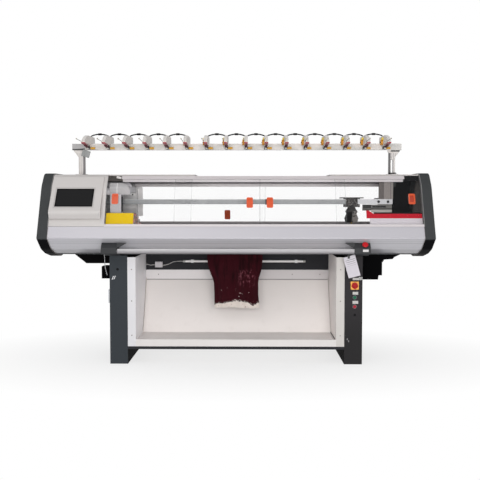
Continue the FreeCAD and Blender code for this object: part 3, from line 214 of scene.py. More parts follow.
class Finish:
    """A material being mixed."""

    def __init__(self, name):
        self.material = bpy.data.materials.new(name)
        self.material.use_nodes = True
        self.tree = self.material.node_tree
        self.tree.nodes.clear()
        self.shader = self.tree.nodes.new("ShaderNodeBsdfPrincipled")
        self.sheet = self.tree.nodes.new("ShaderNodeOutputMaterial")
        self.tree.links.new(self.shader.outputs[0], self.sheet.inputs["Surface"])
        self.place = self.make("ShaderNodeTexCoord", output="Object")

    def make(self, kind, settings=None, values=None, output=0):
        """Any node: its settings first, then the values or links of its sockets."""
        node = self.tree.nodes.new(kind)
        for key, value in (settings or {}).items():
            setattr(node, key, value)
        for key, value in (values or {}).items():
            self.feed(node.inputs[key], value)
        return Signal(self.tree, node.outputs[output])

    def feed(self, slot, value):
        if isinstance(value, Signal):
            self.tree.links.new(value.socket, slot)
        else:
            slot.default_value = value

    def set(self, **values):
        """Sockets of the surface shader by name, with underscores for spaces."""
        for key, value in values.items():
            if key == "Base_Color" and not isinstance(value, Signal):
                value = tuple(value) + (1.0,)
            self.feed(self.shader.inputs[key.replace("_", " ")], value)
        return self

    def axis(self, letter):
        return self.make("ShaderNodeSeparateXYZ", values={0: self.place}, output="XYZ".index(letter))

    def facing(self, letter):
        """The surface's own normal along one axis of the machine."""
        normal = self.make("ShaderNodeNewGeometry", output="Normal")
        return self.make("ShaderNodeSeparateXYZ", values={0: normal}, output="XYZ".index(letter))

    def flat_place(self, layer):
        """Across and down on a UV map."""
        spot = self.make("ShaderNodeUVMap", {"uv_map": layer})
        return [self.make("ShaderNodeSeparateXYZ", values={0: spot}, output=part) for part in (0, 1)]

    def stretched(self, scale):
        return self.make("ShaderNodeMapping", {"vector_type": "POINT"},
                         {"Vector": self.place, "Scale": Vector(scale)})

    def noise(self, scale, detail=3.0, stretch=(1.0, 1.0, 1.0), roughness=0.55):
        where = self.place if stretch == (1.0, 1.0, 1.0) else self.stretched(stretch)
        return self.make("ShaderNodeTexNoise", {"noise_dimensions": "3D"},
                         {"Vector": where, "Scale": scale, "Detail": detail, "Roughness": roughness})

    def mix(self, first, second, factor):
        """Between two colours, each a colour or a link."""
        def full(value):
            return value if isinstance(value, Signal) else tuple(value) + (1.0,)
        return self.make("ShaderNodeMix", {"data_type": "RGBA"},
                         {0: factor, 6: full(first), 7: full(second)}, 2)

    def bump(self, height, depth, strength=1.0, before=None):
        values = {"Height": height, "Distance": depth, "Strength": strength}
        if before is not None:
            values["Normal"] = before
        return self.make("ShaderNodeBump", values=values)

    def peel(self, depth=0.00006, wavy=True):
        """The orange peel of sprayed paint, over the faint waves of its sheet."""
        waves = self.bump(self.noise(14.0, 2.0), 0.0006, 0.25) if wavy else None
        return self.bump(self.noise(650.0, 2.0), depth, 0.6, waves)

    def dusty(self, body, share):
        """Pale dust on what faces up."""
        up = self.facing("Z").ramp(0.5, 1.0) * self.noise(9.0, 5.0).ramp(0.35, 0.75) * share
        return self.mix(body, tone(214, 208, 200), up)

    def drawn_lines(self, along=(0.02, 1.0, 1.0)):
        """Fine lines, along X or another axis, as rolling, drawing or grinding leaves them."""
        return self.noise(700.0, 3.0, along, 0.7)


def scaled(value, factor):
    return tuple(min(1.0, part * factor) for part in value)


def painted(name, value, roughness=0.42, peel=0.00006, dust=0.0, shine=0.4):
    """Sprayed paint: faint orange peel, soft blotches, small specks, and dust on what faces up."""
    finish = Finish(name)
    body = finish.mix(scaled(value, 0.95), scaled(value, 1.05), finish.noise(2.3, 4.0))
    body = finish.mix(body, scaled(value, 0.72), finish.noise(420.0, 2.0).ramp(0.66, 0.74) * 0.10)
    if dust:
        body = finish.dusty(body, dust)
    finish.set(Base_Color=body, Roughness=roughness + (finish.noise(6.0, 3.0) - 0.5) * 0.12,
               Specular_IOR_Level=shine, Normal=finish.peel(peel))
    return finish.material


def moulded(name, value, roughness=0.5, grain=0.00008, low=None, marks=0.25, shine=0.5):
    """Moulded plastic: spark-eroded grain, slight flow shades, light rubbing.

    A colour in low gives the end caps' painted shade and light: that colour under their crease is
    painted shade, the grey inner faces are painted light, and the grey seal runs along the doors.
    """
    finish = Finish(name)
    flow = finish.noise(3.1, 3.0, (0.4, 1.0, 1.0))
    body = finish.mix(scaled(value, 0.93), scaled(value, 1.08), flow)
    rub = finish.noise(34.0, 6.0, (1.0, 1.0, 0.25)).ramp(0.62, 0.80) * marks
    body = finish.mix(body, scaled(value, 1.35), rub)
    if low is not None:
        # Painted shade on the caps' underside below the crease.
        body = finish.mix(body, low, finish.axis("Z").ramp(0.880, 0.868))
        # Painted light on the inner faces, which lie in shade.
        inside = (finish.axis("X") * finish.facing("X")).ramp(-0.6, -0.9)
        body = finish.mix(body, tone(122, 117, 114), inside)
        seal = (abs(finish.axis("X")) < 1.2805) * (finish.axis("Z") > 0.960) * (finish.axis("Y") < -0.120)
        body = finish.mix(body, tone(150, 150, 150), seal * 0.7)
    cells = finish.make("ShaderNodeTexVoronoi", {"feature": "SMOOTH_F1"},
                        {"Vector": finish.place, "Scale": 900.0, "Smoothness": 0.6}, "Distance")
    finish.set(Base_Color=body, Roughness=roughness + (flow - 0.5) * 0.16, Specular_IOR_Level=shine,
               Normal=finish.bump(cells, grain, 0.7))
    return finish.material


def ground(name, value, roughness=0.32, along=(0.02, 1.0, 1.0), metallic=1.0, oil=0.25):
    """Ground metal: fine lines along the cut and thin oily patches."""
    finish = Finish(name)
    lines = finish.drawn_lines(along)
    patches = finish.noise(7.0, 5.0).ramp(0.45, 0.7)
    body = finish.mix(scaled(value, 0.80), scaled(value, 1.16), lines)
    body = finish.mix(body, scaled(value, 0.66), patches * oil)
    finish.set(Base_Color=body, Metallic=metallic, Roughness=roughness + lines * 0.16 - patches * 0.08,
               Normal=finish.bump(lines, 0.00003, 0.5))
    return finish.material


def cast(name, value):
    """Painted casting: coarse sand texture under the paint."""
    finish = Finish(name)
    sand = finish.noise(180.0, 5.0)
    lumps = finish.noise(22.0, 3.0)
    body = finish.mix(scaled(value, 0.75), scaled(value, 1.25), lumps)
    finish.set(Base_Color=body, Roughness=0.55 + sand * 0.2,
               Normal=finish.bump(sand, 0.0004, 0.7, finish.bump(lumps, 0.0015, 0.5)))
    return finish.material


def rubber(name, value, roughness=0.68):
    finish = Finish(name)
    fine = finish.noise(520.0, 3.0)
    bloom = finish.noise(16.0, 4.0).ramp(0.4, 0.8) * 0.35
    body = finish.mix(value, scaled(value, 1.8), bloom)
    finish.set(Base_Color=body, Roughness=roughness + fine * 0.12, Specular_IOR_Level=0.12,
               Normal=finish.bump(fine, 0.00006, 0.6))
    return finish.material


def clear_sheet(name, left, right):
    """Clear acrylic: a nearly invisible face, greyer sawn ends, a few wipe marks."""
    finish = Finish(name)
    edge = abs(finish.facing("X")).ramp(0.7, 0.95)
    across = finish.axis("X")
    ends = across.ramp(left + 0.0050, left + 0.0030) + across.ramp(right - 0.0050, right - 0.0030)
    wipe = finish.noise(5.0, 4.0, (1.0, 1.0, 0.35)).ramp(0.5, 0.8) * 0.006
    finish.set(Base_Color=finish.mix(tone(150, 153, 156), tone(168, 172, 176), edge),
               Roughness=0.10 + wipe + edge * 0.3, Alpha=0.012 + wipe + ends * 0.10 + edge * 0.55)
    return finish.material


def seen_rays(tree):
    """1 for rays from the camera, from metal and from glass, which all see the white surroundings."""
    paths = tree.nodes.new("ShaderNodeLightPath").outputs
    seen = Signal(tree, paths["Is Camera Ray"]) + Signal(tree, paths["Is Glossy Ray"])
    seen = seen + Signal(tree, paths["Is Transmission Ray"])
    return seen.maths("MINIMUM", seen, 1.0)


def dress(material, *nodes):
    """Gives CAD nodes a finish."""
    for name in nodes:
        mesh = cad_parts[name].data
        mesh.materials.clear()
        mesh.materials.append(material)


# ---------------------------------------------------------------- mesh helpers

def finished(name, bm, material, body="frame", smooth=True):
    """Turns a bmesh into a piece that rides on a body of the machine."""
    bmesh.ops.remove_doubles(bm, verts=bm.verts, dist=1e-6)
    bmesh.ops.recalc_face_normals(bm, faces=bm.faces)
    mesh = bpy.data.meshes.new(name)
    bm.to_mesh(mesh)
    bm.free()
    mesh.materials.append(material)
    if smooth:
        mesh.shade_smooth()
        mesh.set_sharp_from_angle(angle=math.radians(38))
    piece = bpy.data.objects.new(name, mesh)
    bpy.context.scene.collection.objects.link(piece)
    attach(piece, body)
    return piece


def tilt(degrees, axis):
    return Matrix.Rotation(math.radians(degrees), 3, axis)


def brick(bm, low, high, bevel=0.0, turn=None):
    """A box between two corners, turned about its middle, with rounded edges."""
    low, high = Vector(low), Vector(high)
    size = high - low
    made = bmesh.ops.create_cube(bm, size=1.0)
    verts = made["verts"]
    bmesh.ops.scale(bm, verts=verts, vec=size)
    if turn is not None:
        bmesh.ops.rotate(bm, verts=verts, cent=(0, 0, 0), matrix=turn)
    bmesh.ops.translate(bm, verts=verts, vec=(low + high) / 2)
    if bevel:
        edges = list({edge for vert in verts for edge in vert.link_edges})
        bmesh.ops.bevel(bm, geom=edges, offset=bevel, affect="EDGES", segments=2, profile=0.5, material=-1)
    return verts


def leaning_brick(bm, low, high, turn, place):
    """A box about the origin, turned there and then moved to its place."""
    verts = brick(bm, low, high)
    bmesh.ops.rotate(bm, verts=verts, cent=(0, 0, 0), matrix=turn)
    bmesh.ops.translate(bm, verts=verts, vec=place)


def block(name, low, high, bevel, material, body="frame", turn=None, smooth=True):
    """A piece that is one small box."""
    bm = bmesh.new()
    brick(bm, low, high, bevel, turn)
    finished(name, bm, material, body, smooth)


def thicken(bm, faces, depth):
    """Gives faces a thickness along Y."""
    made = bmesh.ops.extrude_face_region(bm, geom=faces)
    verts = [item for item in made["geom"] if isinstance(item, bmesh.types.BMVert)]
    bmesh.ops.translate(bm, verts=verts, vec=(0, depth, 0))


def turned(bm, profile, centre, axis, steps=24):
    """A turned shape: the profile is (distance along the axis, radius)."""
    axis = Vector(axis).normalized()
    side = axis.orthogonal().normalized()
    centre = Vector(centre)
    verts = [bm.verts.new(centre + axis * along + side * radius) for along, radius in profile]
    edges = [bm.edges.new(pair) for pair in zip(verts, verts[1:])]
    bmesh.ops.spin(bm, geom=verts + edges, cent=centre, axis=axis, angle=math.tau, steps=steps,
                   use_merge=True, use_duplicate=False)


def wire(name, routes, radius, material, order=3):
    """Round wires or leads along smooth routes, as one curve piece."""
    curve = bpy.data.curves.new(name, "CURVE")
    curve.dimensions = "3D"
    curve.bevel_depth = radius
    curve.bevel_resolution = 2
    curve.resolution_u = 6
    curve.use_fill_caps = True
    for route in routes:
        spline = curve.splines.new("NURBS")
        spline.points.add(len(route) - 1)
        for point, place in zip(spline.points, route):
            point.co = tuple(place) + (1.0,)
        spline.order_u = min(order, len(route))
        spline.use_endpoint_u = True
    curve.materials.append(material)
    piece = bpy.data.objects.new(name, curve)
    bpy.context.scene.collection.objects.link(piece)
    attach(piece, "frame")
    return piece


def slope_place(x, z, proud=0.0):
    """A point on the head's front slope, this far out of the outline."""
    out = proud * math.hypot(1.0, SLOPE_LEAN)
    return Vector((x, SLOPE_FOOT_Y + (z - SLOPE_FOOT_Z) * SLOPE_LEAN - out, z))


def unit_places(sizes):
    """Places of the tension units along the rail."""
    count = 16
    return [(number - (count - 1) / 2) * sizes.unit_pitch for number in range(count)]


# ---------------------------------------------------------------- operators

class MACHINE_OT_housing(bpy.types.Operator):
    """Paints the head's caps, aprons, console, covers, beams and tracks"""
    bl_idname = "machine.housing"
    bl_label = "Housing"

    def execute(self, context):
        tones = context.scene.machine_colours
        dress(moulded("cap_plastic", tones.cap, 0.62, low=tones.cap_underside_shade, shine=0.02), "end_caps")
        dress(self.apron(tones), "aprons")
        dress(painted("cover_paint", tones.cover, 0.40, dust=0.12), "top_covers")
        dress(moulded("pod_plastic", tones.cover, 0.38, 0.00003, marks=0.06), "console_pod")
        dress(self.screen(), "touch_screen")
        dress(self.beam(tones), "top_beams")
        dress(ground("track_metal", tone(206, 200, 202), 0.42, metallic=0.15, oil=0.1), "door_tracks")
        self.screen_rim(tones)
        self.seams()
        return {"FINISHED"}

    def apron(self, tones):
        """Silver paint with the pressed band; under the crease, painted light lifts the underside and painted
        shade darkens the hem at its foot.
        """
        finish = Finish("apron_paint")
        height = finish.axis("Z")
        blot = finish.noise(1.7, 4.0, (0.35, 1.0, 1.0))
        body = finish.mix(scaled(tones.apron, 0.965), scaled(tones.apron, 1.03), blot)
        # Painted light on the underside below the crease.
        body = finish.mix(body, tones.apron_underside_painted_light, height.ramp(0.886, 0.868))
        for line, shade in ((0.8600, 0.16), (0.8460, 0.30), (0.8180, 0.12)):
            body = finish.mix(body, tone(96, 96, 100), abs(height - line).ramp(0.0035, 0.0008) * shade)
        # Painted shade along the apron's foot.
        body = finish.mix(body, scaled(tones.apron_underside_painted_light, 0.70), height.ramp(0.806, 0.792))
        flake = finish.noise(900.0, 1.0)
        finish.set(Base_Color=body, Metallic=0.18, Roughness=0.36 + flake * 0.06 + (blot - 0.5) * 0.08,
                   Normal=finish.bump(flake, 0.00003, 0.5, finish.bump(finish.noise(9.0, 2.0), 0.0006, 0.3)))
        return finish.material

    def beam(self, tones):
        """Beam paint, with a painted shadow along the top of the rear beam's inner face."""
        finish = Finish("beam_paint")
        height = finish.axis("Z")
        blot = finish.noise(2.3, 4.0, (0.3, 1.0, 1.0))
        body = finish.mix(scaled(tones.beam, 0.94), scaled(tones.beam, 1.04), blot)
        body = finish.dusty(body, 0.12)
        rear = finish.axis("Y") > 0.0
        body = finish.mix(body, tone(186, 180, 182), rear)
        # Painted shadow: a dark band along the top of the rear beam's inner face.
        body = finish.mix(body, tone(66, 60, 62), rear * height.ramp(1.256, 1.262))
        body = finish.mix(body, tone(30, 29, 30), rear * (finish.axis("X") > 1.105))
        finish.set(Base_Color=body, Roughness=0.36 + (finish.noise(6.0, 3.0) - 0.5) * 0.12,
                   Normal=finish.peel())
        return finish.material

    def screen(self):
        """Black glass: a dull display inside a glossy black border."""
        finish = Finish("screen_glass")
        across, height = finish.axis("X"), finish.axis("Z")
        inside = across.within(-1.226, -0.988) * height.within(1.104, 1.210)
        smear = finish.noise(11.0, 5.0, (1.0, 1.0, 2.4)).ramp(0.45, 0.85)
        finish.set(Base_Color=finish.mix(tone(16, 16, 17), tone(24, 24, 25), inside),
                   Roughness=0.22 + inside * 0.14 + smear * 0.16, Specular_IOR_Level=0.10)
        return finish.material

    def screen_rim(self, tones):
        """The thin pressed frame round the screen, on the console's sloping front."""
        bm = bmesh.new()
        console_top, console_lean = (-0.202, 1.300), (0.378 - 0.202) / (1.300 - 1.056)
        left, right, foot, top = -1.2455, -0.9690, 1.0865, 1.2275
        width, sunk, rise = 0.006, 0.001, 0.0026
        for x0, z0, x1, z1 in ((left, foot, right, foot + width), (left, top - width, right, top),
                               (left, foot + width, left + width, top - width),
                               (right - width, foot + width, right, top - width)):
            corners = [(x, console_top[0] - (console_top[1] - z) * console_lean + sunk, z)
                       for x, z in ((x0, z0), (x1, z0), (x1, z1), (x0, z1))]
            thicken(bm, [bm.faces.new([bm.verts.new(corner) for corner in corners])], -rise)
        finished("screen_rim", bm, moulded("rim_plastic", scaled(tones.cover, 0.82), 0.45),
                 smooth=False)

    def seams(self):
        """A dark strip of painted shadow in the joint between the apron and the console's cover, and the pale
        tab by the front beam.
        """
        left, right, z = -1.277, -0.897, 0.960
        y = slope_place(0.0, z, -0.0085).y
        # Painted shadow: a dark strip in the joint between the apron and the console's cover.
        block("cover_joint", (left, y - 0.0012, z - 0.0008), (right, y + 0.0015, z + 0.0008), 0.0,
              rubber("joint_shadow", tone(92, 90, 92)), smooth=False)
        block("beam_tab", (-0.8420, -0.1530, 1.2910), (-0.8080, -0.1500, 1.3060), 0.0008,
              painted("tab_paint", tone(214, 210, 208), 0.4), turn=tilt(12.0, "Y"))


class MACHINE_OT_doors(bpy.types.Operator):
    """Glazes the sliding doors and finishes their handles"""
    bl_idname = "machine.doors"
    bl_label = "Doors"

    def execute(self, context):
        tones = context.scene.machine_colours
        doors = ["door_1", "door_2", "door_3", "door_4", "rear_door_1", "rear_door_2"]
        for door in doors:
            places = [vert.co.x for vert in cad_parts[door].data.vertices]
            dress(clear_sheet(door + "_acrylic", min(places), max(places)), door)
        dress(moulded("handle_plastic", tones.handle, 0.30, 0.00002, marks=0.15),
              *[door + "_handle" for door in doors])
        self.latch()
        self.handle_recess()
        return {"FINISHED"}

    def latch(self):
        """The small black catch beside the third door's handle."""
        place = slope_place(0.2080, 1.127, -0.0232)
        half = Vector((0.0045, 0.0028, 0.0200))
        block("door_3_latch", place - half, place + half, 0.0012,
              moulded("latch_plastic", tone(30, 30, 32), 0.4), "door_3",
              Matrix.Rotation(-math.atan(SLOPE_LEAN), 3, "X"))

    def handle_recess(self):
        """The darker grip face inside the fourth door's ring handle."""
        bm = bmesh.new()
        left, right, foot, top, sunk = 1.1935, 1.2185, 1.126, 1.170, 0.0032
        corners = [(left, foot), (right, foot), (right, top), (left, top)]
        face = bm.faces.new([bm.verts.new(slope_place(x, z, -sunk)) for x, z in corners])
        bmesh.ops.bevel(bm, geom=list(face.verts), offset=0.006, affect="VERTICES", segments=3, profile=0.5,
                        material=-1)
        finished("door_4_grip", bm, moulded("grip_plastic", tone(168, 50, 24), 0.5),
                 "door_4", smooth=False)


class MACHINE_OT_beds(bpy.types.Operator):
    """Finishes the base, the ways, the needle beds and the rollers, and lays the needles in"""
    bl_idname = "machine.beds"
    bl_label = "Needle beds"

    def execute(self, context):
        dress(cast("base_casting", tone(58, 60, 62)), "base_casting")
        dress(ground("way_steel", tone(168, 168, 168), 0.25), "carriage_ways")
        dress(ground("bed_steel", tone(118, 116, 116), 0.34, (1.0, 0.02, 0.02)), "front_bed", "rear_bed")
        dress(self.grip_rubber(), "front_roller", "rear_roller")
        self.needles("front_needles", -1.0, "frame")
        self.needles("rear_needles", 1.0, "rear_bed")
        return {"FINISHED"}

    def grip_rubber(self):
        """Roller covering with fine rings round it."""
        finish = Finish("roller_grip")
        rings = finish.make("ShaderNodeTexWave", {"wave_type": "BANDS", "bands_direction": "X"},
                            {"Vector": finish.place, "Scale": 60.0, "Distortion": 0.0}, "Fac")
        worn = finish.noise(12.0, 4.0)
        finish.set(Base_Color=finish.mix(tone(46, 46, 48), tone(78, 78, 80), worn),
                   Roughness=0.62 + rings * 0.12, Normal=finish.bump(rings, 0.0008, 0.8))
        return finish.material

    def needles(self, name, side, body):
        """One needle in each trick: a shank with its butt, lying down the slope."""
        steel = ground(name + "_steel", tone(188, 188, 186), 0.22)
        bm = bmesh.new()
        half_bed, count = 0.707, 56
        pitch = 2 * half_bed / count
        half_width, half_shank, butt = 0.0007, 0.042, side * 0.018
        bed_gap, bed_top = 0.004, 0.964
        down, sunk = 0.049 / math.sqrt(2.0), 0.0034 / math.sqrt(2.0)
        for index in range(count):
            place = (-half_bed + (index + 0.5) * pitch, side * (bed_gap + down - sunk), bed_top - down - sunk)
            for low, high in (((-half_width, -half_shank, -0.0012), (half_width, half_shank, 0.0012)),
                              ((-half_width, butt - 0.003, 0.0), (half_width, butt + 0.003, 0.0055))):
                leaning_brick(bm, low, high, tilt(-side * 45.0, "X"), place)
        finished(name, bm, steel, body, smooth=False)


class MACHINE_OT_carriage(bpy.types.Operator):
    """Finishes the carriage, its cam boxes, the feeder rails and the yarn carriers"""
    bl_idname = "machine.carriage"
    bl_label = "Carriage and carriers"

    def execute(self, context):
        dress(self.carriage_paint(), "carriage")
        dress(ground("cam_steel", tone(120, 120, 122), 0.3), "cam_boxes")
        dress(self.rail_metal(), "feeder_rails")
        dress(self.bracket_paint(), "rail_brackets")
        dress(ground("clamp_metal", tone(184, 184, 187), 0.42, metallic=0.3), "rail_end_blocks")
        dress(self.carrier_steel(), *["yarn_carrier_%d" % number for number in range(1, 5)])
        self.clamp_screws()
        self.carriage_fittings()
        self.feed_tips()
        return {"FINISHED"}

    def carriage_paint(self):
        """Light paint, with painted light making the shaded rear arm paler."""
        finish = Finish("carriage_paint")
        blot = finish.noise(2.3, 4.0)
        body = finish.mix(tone(188, 186, 190), tone(202, 200, 204), blot)
        # Painted light: the rear arm, which lies in shade, made paler.
        body = finish.mix(body, tone(244, 242, 242), finish.axis("Y") > 0.10)
        specks = finish.noise(420.0, 2.0).ramp(0.66, 0.74) * 0.10
        body = finish.mix(body, tone(120, 118, 118), specks)
        finish.set(Base_Color=body, Roughness=0.42 + (blot - 0.5) * 0.12, Specular_IOR_Level=0.4,
                   Normal=finish.peel())
        return finish.material

    def rail_metal(self):
        """Rolled rail: a bright upper edge, dull web and oily lower edge."""
        finish = Finish("rail_metal")
        height = finish.axis("Z")
        lines = finish.drawn_lines()
        body = finish.mix(tone(118, 120, 122), tone(146, 148, 149), lines)
        body = finish.mix(body, tone(176, 178, 178), height.ramp(1.1400, 1.1425) * 0.8)
        body = finish.mix(body, tone(84, 86, 90), height.ramp(1.1160, 1.1120))
        patches = finish.noise(7.0, 5.0, (0.4, 1.0, 1.0)).ramp(0.45, 0.7)
        body = finish.mix(body, tone(104, 104, 106), patches * 0.3)
        finish.set(Base_Color=body, Metallic=0.35, Roughness=0.42 + lines * 0.16 - patches * 0.08,
                   Normal=finish.bump(lines, 0.00003, 0.5))
        return finish.material

    def bracket_paint(self):
        """Warm grey paint: the bracket's shaded left fold, painted shade in the bar's slot, and its lighter
        lower flange.
        """
        finish = Finish("bracket_paint")
        across, height = finish.axis("X"), finish.axis("Z")
        cloud = finish.noise(9.0, 4.0, (1.0, 1.0, 0.4))
        body = finish.mix(tone(120, 113, 110), tone(146, 139, 136), cloud)
        upright = height > 1.1430
        fold = (across < 1.0440) * upright
        body = finish.mix(body, tone(84, 77, 75), fold * 0.85)
        for place in (1.0440, 1.0930):
            line = abs(across - place) < 0.0016
            body = finish.mix(body, tone(72, 66, 66), line * upright * 0.7)
        bar = (height < 1.1090) * (finish.axis("Y") < -0.060)
        body = finish.mix(body, tone(112, 110, 106), bar)
        body = finish.mix(body, tone(198, 194, 188), bar * height.ramp(1.0720, 1.0690))
        body = finish.mix(body, tone(52, 50, 50), bar * height.within(1.0735, 1.0835) * 0.8)
        # Painted shade: the bar's slot painted near black.
        slot = across.within(0.9675, 1.0655) * height.within(1.0865, 1.0995)
        body = finish.mix(body, tone(6, 6, 7), bar * slot)
        tongue = bar * (across < 0.9600)
        body = finish.mix(body, tone(26, 25, 26), tongue)
        body = finish.mix(body, tone(122, 118, 114), tongue * height.within(1.0740, 1.0800))
        specks = finish.noise(420.0, 2.0).ramp(0.62, 0.70) * 0.25
        body = finish.mix(body, tone(70, 66, 64), specks)
        finish.set(Base_Color=body, Roughness=0.50 + (cloud - 0.5) * 0.12, Specular_IOR_Level=0.3,
                   Normal=finish.peel(wavy=False))
        return finish.material

    def carrier_steel(self):
        """Blued steel: speckled sliders, and a bright rubbed flank on each bell."""
        finish = Finish("carrier_steel")
        rub = finish.noise(26.0, 6.0, (1.0, 1.0, 0.5)).ramp(0.45, 0.75)
        grain = finish.noise(600.0, 2.0, (1.0, 1.0, 0.05))
        body = finish.mix(tone(28, 26, 27), tone(84, 79, 77), rub * 0.5)
        height = finish.axis("Z")
        speckle = finish.noise(115.0, 3.0).ramp(0.56, 0.64) * (height > 1.085)
        body = finish.mix(body, tone(168, 164, 160), speckle * 0.7)
        flank = finish.axis("X").ramp(0.828, 0.838) * height.ramp(1.062, 1.050) * height.ramp(0.972, 0.982)
        body = finish.mix(body, tone(196, 190, 186), flank * finish.noise(48.0, 4.0).ramp(0.38, 0.52) * 0.9)
        finish.set(Base_Color=body, Metallic=0.3, Roughness=0.44 + grain * 0.2, Specular_IOR_Level=0.25,
                   Normal=finish.bump(grain, 0.00003, 0.6))
        return finish.material

    def clamp_screws(self):
        """Cap screws in the silver clamp block."""
        bm = bmesh.new()
        flanged_head = [(0.0, 0.0), (0.0, 0.0096), (0.0064, 0.0096), (0.0074, 0.0086), (0.0074, 0.0074),
                        (0.0108, 0.0070), (0.0116, 0.0062), (0.0116, 0.0028), (0.0090, 0.0028), (0.0090, 0.0)]
        for x in (1.010, 1.077):
            turned(bm, flanged_head, (x, -0.0955, 1.129), (0, -1, 0), 20)
        finished("clamp_screws", bm, moulded("screw_black", tone(30, 29, 32), 0.45, shine=0.3))

    def carriage_fittings(self):
        """The black plug in the rear arm's hole, a black strip of painted shadow by the arm, and the front
        panel.
        """
        bm = bmesh.new()
        turned(bm, [(0.0, 0.0), (0.0, 0.0046), (0.0040, 0.0046), (0.0046, 0.0030), (0.0046, 0.0)],
               (-0.770, 0.1175, 1.180), (0, -1, 0), 16)
        finished("carriage_plug", bm, rubber("plug_black", tone(14, 14, 15)), "carriage")
        # Painted shadow: a black strip in the dark gap beside the front arm.
        block("arm_shadow_strip", (-0.8020, -0.1990, 1.058), (-0.7930, -0.1880, 1.166), 0.0012,
              rubber("shadow_strip_black", tone(22, 22, 24)), "carriage")
        self.front_panel()

    def front_panel(self):
        """The thin pressed panel over the front of the hood, with its large rounded corner."""
        left, right, corner, thickness, steps = -0.8835, -0.7415, 0.055, 0.0016, 6
        rows = ((1.1790, -0.2018), (1.2240, -0.2018), (1.2320, -0.1985), (1.2400, -0.1920),
                (1.2500, -0.1835), (1.2585, -0.1765))
        bm = bmesh.new()
        grid = []
        for z, y in rows:
            over = max(0.0, z - (rows[-1][0] - corner))
            width = right - corner + math.sqrt(corner * corner - over * over) - left
            grid.append([bm.verts.new((left + width * step / steps, y, z)) for step in range(steps + 1)])
        for low, high in zip(grid, grid[1:]):
            for step in range(steps):
                bm.faces.new([low[step], low[step + 1], high[step + 1], high[step]])
        thicken(bm, list(bm.faces), thickness)
        finished("carriage_front_panel", bm, self.panel_paint(), "carriage")

    def panel_paint(self):
        """Panel paint, with a painted highlight along the fold down its middle."""
        finish = Finish("panel_paint")
        blot = finish.noise(2.3, 4.0)
        body = finish.mix(tone(168, 166, 167), tone(180, 178, 179), blot)
        # Painted highlight along the fold.
        line = abs(finish.axis("X") + 0.8320).ramp(0.0040, 0.0015)
        body = finish.mix(body, tone(222, 220, 220), line * 0.8)
        finish.set(Base_Color=body, Roughness=0.40 + (blot - 0.5) * 0.12, Specular_IOR_Level=0.3,
                   Normal=finish.peel(wavy=False))
        return finish.material

    def feed_tips(self):
        """Brass-coloured eyes at the ends of the carriers' nozzles."""
        brass = ground("tip_brass", tone(176, 150, 96), 0.3)
        eye = [(0.0, 0.0012), (0.0, 0.0030), (0.004, 0.0034), (0.010, 0.0034), (0.012, 0.0026),
               (0.012, 0.0012)]
        for number, y in enumerate((-0.012, -0.004, 0.004, 0.012), 1):
            bm = bmesh.new()
            turned(bm, eye, (0.831, y, 0.9690), (0, 0, 1), 16)
            finished("feed_tip_%d" % number, bm, brass, "yarn_carrier_%d" % number)


class MACHINE_OT_guards(bpy.types.Operator):
    """Finishes the guards, the red band, the yarn clamps and the inner sheets"""
    bl_idname = "machine.guards"
    bl_label = "Guards"

    def execute(self, context):
        tones = context.scene.machine_colours
        dress(painted("guard_yellow", tones.yellow, 0.45, shine=0.12), "left_guard")
        dress(painted("guard_pale", tone(206, 200, 206), 0.40), "right_guard")
        dress(painted("band_red", tones.red, 0.42, shine=0.15), "bumper_band")
        dress(self.striped(), "yarn_clamps")
        dress(self.inner_paint(), "inner_sheets")
        return {"FINISHED"}

    def inner_paint(self):
        """Dull dark coat, greyer at the left end, where the light reaches it."""
        finish = Finish("inner_dark")
        cloud = finish.noise(5.0, 4.0)
        body = finish.mix(tone(15, 15, 17), tone(22, 22, 24), cloud)
        body = finish.mix(body, tone(74, 70, 67), finish.axis("X").ramp(-0.55, -0.65))
        finish.set(Base_Color=body, Roughness=0.58 + cloud * 0.1, Specular_IOR_Level=0.08,
                   Normal=finish.bump(finish.noise(520.0, 2.0), 0.00006, 0.6))
        return finish.material

    def striped(self):
        """Clamp fingers in mixed rust, bone, pink and black, slanting to the right."""
        finish = Finish("clamp_fingers")
        first_x, foot_z, slant, width = -0.705, 0.96, 0.35, 0.0065
        step = (finish.axis("X") - first_x + (finish.axis("Z") - foot_z) * slant) / width
        odd = step.maths("MODULO", step, 2.0)
        grain = finish.noise(240.0, 3.0)
        patch = finish.noise(62.0, 3.0)
        body = finish.mix(tone(44, 38, 38), tone(112, 92, 84), odd > 1.0)
        body = finish.mix(body, tone(186, 108, 104), patch.ramp(0.54, 0.58))
        body = finish.mix(body, tone(196, 184, 178), finish.noise(85.0, 2.0).ramp(0.60, 0.63))
        body = finish.mix(body, tone(20, 20, 24), patch.ramp(0.42, 0.38))
        finish.set(Base_Color=body, Roughness=0.45 + grain * 0.2, Normal=finish.bump(grain, 0.0002, 0.5))
        return finish.material


